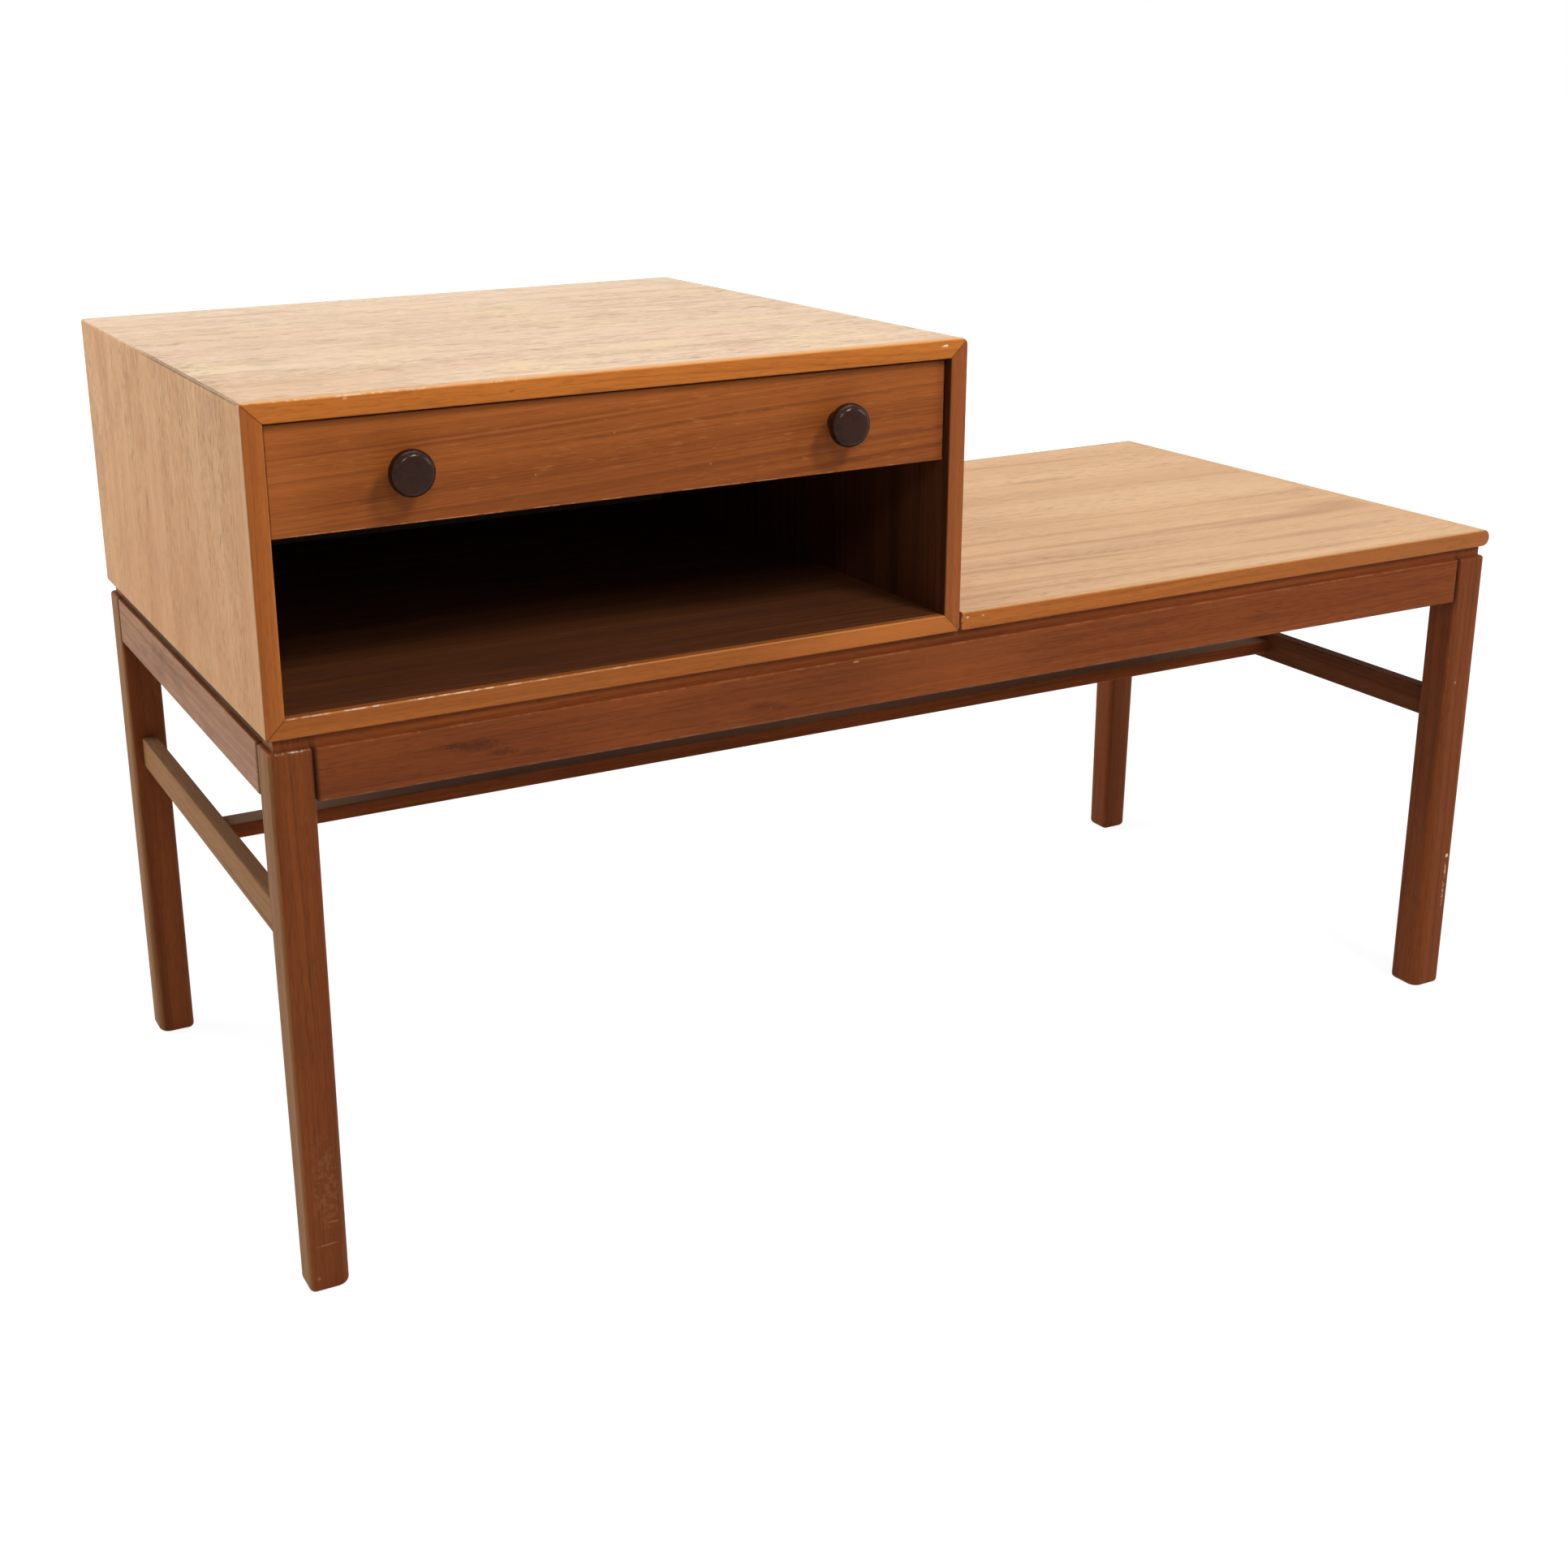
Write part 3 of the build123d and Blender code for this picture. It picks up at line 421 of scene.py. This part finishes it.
def top_lip_marks(wood):
    """A light line along the upper edge that is a painted highlight, bare wood that is partly painted
    highlight at its left end, and small dents and chips.
    """
    y, z = FRONT + 0.5, CASE_TOP - 0.5
    # A painted highlight along the upper edge.
    wood.bar((CASE_MIDDLE, y, z), (258.0, 0.7, 0.7), tone(226, 158, 88), 0.55, ragged=0.5)
    wood.bar((-452.0, y, z), (88.0, 0.5, 0.45), WORN_AND_GLINT, 0.4, ragged=1.2, broken=60.0)
    wood.bar((-457.0, y, z), (44.0, 0.5, 0.5), WORN_AND_GLINT, 0.45, ragged=1.2, broken=160.0)
    wood.mark((-468.1, FRONT, 624.9), (1.5, 1.0, 1.0), tone(236, 176, 120), 0.5)
    wood.mark((-357.1, FRONT, 619.5), (2.2, 1.0, 0.9), tone(112, 58, 24), 0.45)
    wood.mark((-300.0, FRONT, 615.0), (12.0, 1.0, 1.2), tone(120, 62, 30), 0.4, soft=0.5)
    wood.mark((-24.1, FRONT, 622.6), (2.0, 1.0, 0.7), tone(252, 222, 196), 0.85, ragged=1.2)
    wood.mark((-26.4, FRONT, 622.3), (1.2, 1.0, 0.6), tone(244, 196, 150), 0.7)


def bottom_lip_marks(wood):
    """A bright patch, a light line along the upper edge that is a painted highlight, and bare wood that is
    partly painted highlight at its left end.
    """
    top = CASE_BOTTOM + BOARD
    y, z = FRONT + 0.5, top - 0.4
    wood.shade((-60.0, FRONT, top - 7.0), (80.0, 2.0, 12.0), tone(216, 128, 58), 0.4)
    # A painted highlight along the upper edge.
    wood.bar((CASE_MIDDLE, y, z), (248.0, 0.7, 0.6), tone(206, 140, 78), 0.5, ragged=0.5)
    wood.bar((-398.0, y, z), (112.0, 0.5, 0.4), WORN_AND_GLINT, 0.4, ragged=1.2, broken=60.0)
    wood.bar((-420.0, y, z), (70.0, 0.45, 0.4), WORN_AND_GLINT, 0.5, broken=120.0)


def case_lip(wood):
    colours = {
        "case_top_lip": (tone(202, 118, 43), tone(186, 104, 39)),
        "case_right_lip": (tone(160, 88, 40), tone(146, 77, 34)),
        "case_bottom_lip": (tone(172, 99, 41), tone(156, 85, 35)),
        "case_left_lip": (tone(180, 103, 42), tone(162, 87, 35)),
    }
    wood.base(*colours[wood.node])
    wood.lines(tone(128, 66, 28), 0.28, along=3.0, across=3.0)
    if wood.node == "case_top_lip":
        wood.facing(UP, tone(216, 164, 108), 0.9)
    # Painted shade, with unfaded wood, on the lips' undersides.
    if wood.node in ("case_top_lip", "case_bottom_lip"):
        wood.facing(DOWN, INSIDE_UNFADED_AND_SHADED, 0.9)
    if wood.node == "case_left_lip":
        wood.facing(LEFT, tone(212, 164, 120), 0.9, start=0.6, end=0.95)
        wood.dashes(tone(136, 92, 58), 0.4, along=110.0, across=700.0, start=0.52, end=0.64)
    # Painted shade on the inner face, which looks into the case.
    if wood.node == "case_right_lip":
        wood.facing(LEFT, tone(60, 30, 18), 0.9)
    wood.dashes(tone(120, 62, 28), 0.3)
    wood.fibres(0.2, pores=0.25)
    if wood.node != "case_right_lip":
        wood.edges(tone(216, 148, 84), 0.25, width=1.4)
    # The dark lines of the mitres, at the four corners.
    for z, upwards in ((CASE_TOP, -1), (CASE_BOTTOM, 1)):
        for x, inwards in ((CASE_LEFT, 1), (CASE_RIGHT, -1)):
            place = (x + inwards * BOARD / 2, FRONT, z + upwards * BOARD / 2)
            wood.bar(place, (14.0, 9.0, 0.5), tone(86, 44, 20), 0.6,
                     turn=-inwards * upwards * MITRE, ragged=0.6, soft=0.6)
    if wood.node == "case_top_lip":
        top_lip_marks(wood)
    if wood.node == "case_bottom_lip":
        bottom_lip_marks(wood)
    wood.finish()


def drawer_front(wood):
    wood.base(tone(164, 89, 35), tone(148, 77, 28))
    wood.patches(tone(178, 101, 46), 0.4, along=2.0, across=18.0)
    wood.lines(tone(104, 50, 22), 0.35, along=0.7, across=0.75, end=0.7)
    wood.year_rings(tone(90, 42, 18), 0.45, start=0.35)
    wood.lines(tone(98, 46, 18), 0.4, along=1.2, across=3.2)
    wood.lines(tone(96, 44, 18), 0.25, along=2.4, across=8.0, start=0.52, end=0.66)
    wood.dashes(tone(88, 42, 18), 0.15)
    wood.dashes(tone(196, 126, 64), 0.3, along=60.0, across=420.0, start=0.58, end=0.7)
    wood.fibres(0.2, pores=0.25)
    low, high = corners(wood.node)
    middle = (low + high) / 2
    # The first, a lighter band along the upper edge, is painted light where the top lip's shadow falls.
    shades = (
        (CASE_MIDDLE, 612.0, 300.0, 13.0, tone(198, 112, 46), 0.32),
        (-526.0, 580.0, 26.0, 70.0, tone(190, 110, 50), 0.3),
        (-330.0, 546.0, 130.0, 22.0, tone(112, 56, 24), 0.3),
    )
    for x, z, long, tall, colour, share in shades:
        wood.shade((x, low.y, z), (long, 3.0, tall), colour, share)
    for x, z in ((-281.9, 584.4), (-339.7, 562.0), (-210.0, 556.0)):
        wood.mark((x, low.y, z), (0.8, 1.0, 0.8), tone(214, 158, 110), 0.25)
    # Painted shade and dirt darken its upper edge and ends at the gaps, and its lower edge is rubbed
    # light, partly a painted highlight.
    for x, z, long, tall in ((middle.x, high.z, 252.0, 0.9), (low.x, middle.z, 0.9, 38.0),
                             (high.x, middle.z, 0.9, 38.0)):
        wood.bar((x, low.y, z), (long, 3.0, tall), tone(58, 28, 12), 0.6, ragged=0.3, soft=0.3)
    wood.bar((CASE_MIDDLE, low.y + 0.3, low.z + 0.4), (246.0, 0.8, 0.6), tone(206, 146, 92), 0.45,
             broken=60.0)
    wood.edges(tone(190, 120, 64), 0.3, width=1.2)
    wood.finish()


def frame_wood(wood, light, dark, edge=0.35):
    wood.base(light, dark)
    wood.patches(tone(100, 52, 28), 0.4, along=5.0, across=24.0)
    if wood.node in FADED:
        wood.facing(LEFT, FADED[wood.node], 0.85)
    if wood.node == "left_stretcher":
        wood.facing(UP, tone(138, 104, 74), 0.8)
    if wood.node == "left_rail":
        wood.patches(tone(112, 70, 42), 0.5, along=9.0, across=40.0)
        wood.patches(tone(176, 128, 88), 0.4, along=14.0, across=60.0)
    wood.year_rings(tone(70, 34, 16), 0.25)
    wood.lines(tone(74, 36, 16), 0.2 if wood.node == "left_rail" else 0.3, along=2.0, across=3.0)
    wood.dashes(tone(64, 31, 14), 0.25)
    wood.fibres(0.22, pores=0.26)
    wood.edges(tone(172, 116, 72), edge)


def groove(wood, x, y, on_side):
    """Dirt and painted shade in the V groove between a leg and a rail, on a side face or on the front or
    back.
    """
    wide, deep = (8.0, 2.0) if on_side else (2.0, 8.0)
    wood.bar((x, y, GROOVE), (wide, deep, GROOVE_HALF), tone(44, 25, 16), 0.7, ragged=0.3, soft=0.6)


def leg(wood):
    frame_wood(wood, tone(138, 72, 34), tone(120, 61, 28))
    low, high = corners(wood.node)
    outer_y, inner_y = (low.y, high.y) if low.y < 0 else (high.y, low.y)
    outer_x, inner_x = (low.x, high.x) if low.x < 0 else (high.x, low.x)
    groove(wood, inner_x, outer_y, on_side=False)
    groove(wood, outer_x, inner_y, on_side=True)
    if wood.node == "leg_front_left":
        # Bare wood, partly painted highlight, on the ledge, then scratches, a chip and a worn patch low
        # down.
        wood.bar((-520.0, FRONT + 0.8, LEDGE - 0.5), (13.5, 1.2, 0.5), tone(196, 156, 120), 0.5,
                 ragged=1.6, broken=300.0)
        wood.bar((-516.5, FRONT + 0.8, LEDGE - 0.4), (5.0, 0.8, 0.45), tone(240, 224, 206), 0.65,
                 ragged=1.6, broken=240.0)
        wood.mark((-520.0, FRONT, 37.0), (7.0, 1.2, 0.45), tone(172, 126, 90), 0.6,
                  turn=-0.03, ragged=1.4, soft=0.5)
        wood.mark((-514.6, FRONT, 54.0), (3.8, 1.2, 0.4), tone(176, 130, 94), 0.5, turn=0.05, soft=0.5)
        wood.mark((-528.0, FRONT + 0.6, 11.6), (1.4, 1.6, 1.4), tone(160, 112, 84), 0.5, soft=0.5)
        wood.mark((-518.0, FRONT, 82.0), (9.0, 1.2, 34.0), tone(150, 102, 70), 0.3, soft=0.5, broken=240.0)
    if wood.node == "leg_front_right":
        # A worn edge with two chips, and a fleck higher up.
        wood.mark((525.6, FRONT, 99.0), (1.3, 1.4, 25.0), tone(206, 168, 132), 0.6,
                  ragged=1.4, soft=0.3, broken=300.0)
        wood.mark((526.0, FRONT, 126.0), (1.4, 1.2, 1.8), tone(240, 226, 206), 0.8)
        wood.mark((525.8, FRONT, 112.0), (0.7, 1.2, 4.0), tone(220, 190, 160), 0.6)
        wood.mark((513.0, FRONT, 290.0), (1.0, 1.0, 1.3), tone(196, 150, 112), 0.5)
    wood.finish(**FRAME_FINISH)


def front_rail_marks(wood):
    """A dark and a bright patch, dark flecks, and light lines along the ledge and lower edge, partly wear
    and partly painted highlight.
    """
    wood.shade((-385.0, FRONT, 384.0), (80.0, 2.0, 30.0), tone(84, 42, 24), 0.35)
    wood.shade((0.0, FRONT, 388.0), (60.0, 2.0, 26.0), tone(170, 92, 42), 0.3)
    flecks = (
        (-392.0, 384.0, 15.0, 3.2, 0.6), (-374.0, 377.0, 9.0, 2.2, 0.55),
        (-410.0, 387.0, 10.0, 1.6, 0.45), (-352.0, 373.0, 12.0, 1.5, 0.4),
        (-172.0, 378.0, 12.0, 2.0, 0.45), (-158.0, 374.0, 7.0, 1.2, 0.45),
        (60.0, 385.0, 16.0, 1.4, 0.35), (290.0, 380.0, 20.0, 1.6, 0.35),
    )
    for x, z, long, tall, share in flecks:
        wood.mark((x, FRONT, z), (long, 1.5, tall), tone(54, 27, 15), 0.85 * share,
                  turn=0.04, ragged=2.4, soft=0.8)
    wood.mark((-95.2, FRONT, LEDGE - 2.0), (3.0, 1.0, 0.6), tone(206, 160, 120), 0.6)
    wood.bar((0.0, FRONT + 0.4, LEDGE - 0.6), (500.0, 0.9, 0.7), tone(160, 100, 62), 0.4, broken=60.0)
    low_edge = corners(wood.node)[0].z + 0.9
    wood.bar((0.0, FRONT + 0.9, low_edge), (500.0, 1.2, 1.0), tone(160, 104, 68), 0.35, broken=60.0)


def rail(wood):
    frame_wood(wood, *FRAME_TONES)
    low, high = corners(wood.node)
    if wood.node in ("front_rail", "back_rail"):
        row = wood.node.split("_")[0]
        y = low.y if row == "front" else high.y
        groove(wood, corners(f"leg_{row}_left")[1].x, y, on_side=False)
        groove(wood, corners(f"leg_{row}_right")[0].x, y, on_side=False)
    else:
        x = low.x if wood.node == "left_rail" else high.x
        groove(wood, x, corners("leg_front_left")[1].y, on_side=True)
        groove(wood, x, corners("leg_back_left")[0].y, on_side=True)
        # Painted shade on the recessed strip under the case.
        wood.bar((x, 0.0, high.z - 3.8), (8.0, 260.0, 4.6), tone(52, 36, 26), 0.8, ragged=0.2)
    if wood.node == "front_rail":
        front_rail_marks(wood)
    wood.finish(**FRAME_FINISH)


def stretcher(wood):
    light, dark = FRAME_TONES
    # The right stretcher, shaded under the seat, gets darker tones: painted shade.
    if wood.node == "right_stretcher":
        light, dark = tone(112, 62, 32), tone(96, 52, 27)
    frame_wood(wood, light, dark, edge=0.15)
    if wood.node == "long_stretcher":
        wood.facing(UP, tone(156, 128, 108), 0.75)
    wood.finish(rough=(0.6, 0.75), gloss=0.06)


def case_floor(wood):
    wood.base(tone(104, 58, 30), tone(90, 49, 26))
    wood.patches(tone(70, 40, 22), 0.5, along=4.0, across=20.0)
    wood.lines(tone(48, 25, 13), 0.45, along=2.6, across=3.0)
    wood.dashes(tone(46, 24, 13), 0.35)
    wood.fibres(0.3, pores=0.3)
    wood.edges(tone(120, 76, 46), 0.2)
    wood.finish(**BARE)


def back_panel(wood):
    wood.base(tone(140, 133, 114), tone(126, 119, 102))
    wood.facing(BACKWARDS, tone(176, 136, 96), 0.85)
    wood.patches(tone(150, 112, 78), 0.4, along=2.0, across=7.0)
    wood.lines(tone(112, 80, 54), 0.45, along=1.4, across=1.2, end=0.62)
    wood.dashes(tone(100, 70, 46), 0.4, along=60.0, across=560.0)
    wood.fibres(0.25, pores=0.3)
    wood.edges(tone(150, 122, 92), 0.3)
    wood.finish(rough=(0.6, 0.75), gloss=0.1)


def beech(wood):
    wood.base(tone(210, 172, 128), tone(200, 160, 116))
    # Painted shade on the undersides of the drawer's bottom and sides.
    if wood.node in ("drawer_bottom", "drawer_left_side", "drawer_right_side"):
        wood.facing(DOWN, tone(84, 64, 46), 0.9)
    wood.lines(tone(172, 126, 84), 0.3)
    wood.dashes(tone(140, 96, 62), 0.35, along=110.0, across=700.0)
    wood.fibres(0.2, pores=0.2)
    wood.edges(tone(226, 196, 158), 0.4)
    wood.finish(**BARE)


# Each piece's grain direction, its look, and what is special about how it was sawn.
PIECES = {
    "case_top": ("x", case_top, dict(rings=120.0)),
    "case_left": ("z", case_side, dict(rings=120.0)),
    "case_right": ("z", case_side, dict(rings=120.0)),
    "case_bottom": ("x", case_floor, {}),
    "case_back": ("x", back_panel, {}),
    "seat_panel": ("x", seat_panel, dict(rings=70.0, sway=4.0)),
    "drawer_front": ("x", drawer_front,
                     dict(rings=190.0, sway=3.5, heart=(-0.03, -0.05), lean=(0.02, 0.035))),
    "front_rail": ("x", rail, dict(heart=(-0.006, -0.004), lean=(0.004, 0.01))),
}
PLAIN_PIECES = {
    case_lip: {"x": ("case_top_lip", "case_bottom_lip"), "z": ("case_left_lip", "case_right_lip")},
    seat_lip: {"x": ("seat_front_lip", "seat_back_lip"), "y": ("seat_left_lip", "seat_nose")},
    rail: {"x": ("back_rail",), "y": ("left_rail", "right_rail")},
    stretcher: {"x": ("long_stretcher",), "y": ("left_stretcher", "right_stretcher")},
    leg: {"z": ("leg_front_left", "leg_front_right", "leg_back_left", "leg_back_right")},
    beech: {
        "x": ("drawer_back", "drawer_bottom", "case_splines",
              "block_front_left", "block_front_right", "block_back_left", "block_back_right"),
        "y": ("drawer_left_side", "drawer_right_side", "left_runner", "right_runner", "middle_bearer"),
    },
}
for look, by_axis in PLAIN_PIECES.items():
    for axis, names in by_axis.items():
        PIECES |= {node: (axis, look, {}) for node in names}

for seed, (node, (axis, look, cut)) in enumerate(sorted(PIECES.items()), start=1):
    look(Wood(node, axis, seed, **cut))


# ---------------------------------------------------------------- knobs and screws
def turned_knob(node, seed):
    """Dark turned wood with a satin gloss, rubbed along the rim."""
    knob = Wood(node, "y", seed)
    knob.base(tone(58, 28, 14), tone(44, 21, 11))
    knob.patches(tone(32, 17, 10), 0.5, along=60.0, across=160.0)
    knob.fibres(0.3, pores=0.3)
    forwards = knob.vector("DOT_PRODUCT", knob.outwards, FORWARDS)
    rim = knob.math("MULTIPLY", knob.ease(forwards, 0.2, 0.5), knob.ease(forwards, 0.96, 0.75))
    rubbed = knob.ease(knob.even_noise(300.0, detail=3.0, roughness=0.6), 0.45, 0.7, high=0.25)
    knob.lay(knob.math("MULTIPLY", rim, rubbed), tone(104, 70, 48))
    knob.finish(rough=(0.13, 0.2), gloss=0.13, strength=0.06)


for seed, node in enumerate(("left_knob", "right_knob"), start=50):
    turned_knob(node, seed)

steel = Shading("screw_steel")
scuff = steel.even_noise(900.0, detail=3.0, roughness=0.6)
steel.plug(steel.shader.inputs["Base Color"], steel.mix(scuff, tone(150, 148, 142), tone(190, 188, 182)))
steel.plug(steel.shader.inputs["Roughness"], steel.ease(scuff, 0.3, 0.7, low=0.32, high=0.5))
steel.shader.inputs["Metallic"].default_value = 1.0
steel.bump(scuff, strength=0.1, distance=0.1 / MM)
for node in nodes:
    if node.endswith("_screws"):
        steel.dress(node)

# ---------------------------------------------------------------- camera
# It was fitted to the bench's straight edges in the photograph.
camera = bpy.data.objects.new("camera", bpy.data.cameras.new("camera"))
bpy.context.scene.collection.objects.link(camera)
camera.data.sensor_width = 36.0
camera.data.lens = 47.04
camera.data.shift_x = 0.0823
camera.data.shift_y = -0.0465
CAMERA_PLACE = (-0.849338, -1.454150, 0.832740)
picture_right = Vector((0.89795576, -0.43974551, -0.0173012))
picture_down = Vector((-0.1517964, -0.272587, -0.95008114))
ahead = Vector((0.41307784, 0.8557571, -0.31152285))
turn = Matrix((picture_right, -picture_down, -ahead)).transposed().to_4x4()
camera.matrix_world = Matrix.Translation(CAMERA_PLACE) @ turn
bpy.context.scene.camera = camera


# ---------------------------------------------------------------- light
def lamp(name, place, aim, size, power):
    """A soft square white lamp that points at aim."""
    light = bpy.data.lights.new(name, "AREA")
    light.size = size
    light.energy = power
    shown = bpy.data.objects.new(name, light)
    bpy.context.scene.collection.objects.link(shown)
    shown.location = place
    shown.rotation_euler = (Vector(aim) - Vector(place)).to_track_quat("-Z", "Y").to_euler()


KEY_AIM, KEY_DISTANCE = Vector((-0.25, -0.2, 0.5)), 2.6
for name, towards, power in (("key", (0.24, -0.65, 0.72), 30.0), ("key_left", (-0.26, -0.76, 0.59), 12.0)):
    lamp(name, KEY_AIM + KEY_DISTANCE * Vector(towards), KEY_AIM, size=0.5, power=power)
lamp("right", (2.4, -1.9, 1.5), (0.0, 0.0, 0.4), size=1.2, power=20.0)
lamp("over", (-0.1, 0.6, 3.0), (0.0, 0.0, 0.5), size=2.4, power=38.0)
lamp("left", (-3.0, 2.0, 1.9), (-0.3, 0.0, 0.45), size=2.6, power=90.0)


def seen_directly(tree):
    """1 for rays from the camera, or from gloss or glass, and 0 for the rest."""
    rays = tree.nodes.new("ShaderNodeLightPath")
    both = tree.nodes.new("ShaderNodeMath")
    both.operation = "ADD"
    tree.links.new(rays.outputs["Is Camera Ray"], both.inputs[0])
    tree.links.new(rays.outputs["Is Glossy Ray"], both.inputs[1])
    every = tree.nodes.new("ShaderNodeMath")
    every.operation = "ADD"
    every.use_clamp = True
    tree.links.new(both.outputs[0], every.inputs[0])
    tree.links.new(rays.outputs["Is Transmission Ray"], every.inputs[1])
    return every.outputs[0]


# White where it is seen, and a dim light on the bench.
world = bpy.data.worlds.new("world")
bpy.context.scene.world = world
world.use_nodes = True
sky = world.node_tree
background = sky.nodes["Background"]
background.inputs["Color"].default_value = grey(1.0)
strength = sky.nodes.new("ShaderNodeMapRange")
sky.links.new(seen_directly(sky), strength.inputs["Value"])
strength.inputs["To Min"].default_value = 0.12
strength.inputs["To Max"].default_value = 1.0
sky.links.new(strength.outputs["Result"], background.inputs["Strength"])

# ---------------------------------------------------------------- floor
bpy.ops.mesh.primitive_plane_add(size=40.0, location=(0.0, 0.0, 0.0))
floor = bpy.context.object
floor.name = "floor"
# To direct rays it is mostly plain white, and wholly so away from the bench. Other light finds
# pale paper.
pale = Shading("floor_pale")
pale.shader.inputs["Roughness"].default_value = 0.9
paper = pale.even_noise(3.0)
pale.plug(pale.shader.inputs["Base Color"], pale.mix(paper, grey(0.68), grey(0.72)))
white = pale.add("ShaderNodeEmission", {"Strength": 1.25})
far = pale.ease(pale.vector("LENGTH", pale.place), 1.0, 2.6, low=0.72)
share = pale.math("MULTIPLY", seen_directly(pale.tree), far)
blend = pale.add("ShaderNodeMixShader", {0: share, 1: pale.shader.outputs[0], 2: white.outputs[0]})
pale.plug(pale.tree.nodes["Material Output"].inputs["Surface"], blend.outputs[0])
floor.data.materials.append(pale.material)

bpy.context.scene.view_settings.view_transform = "Standard"
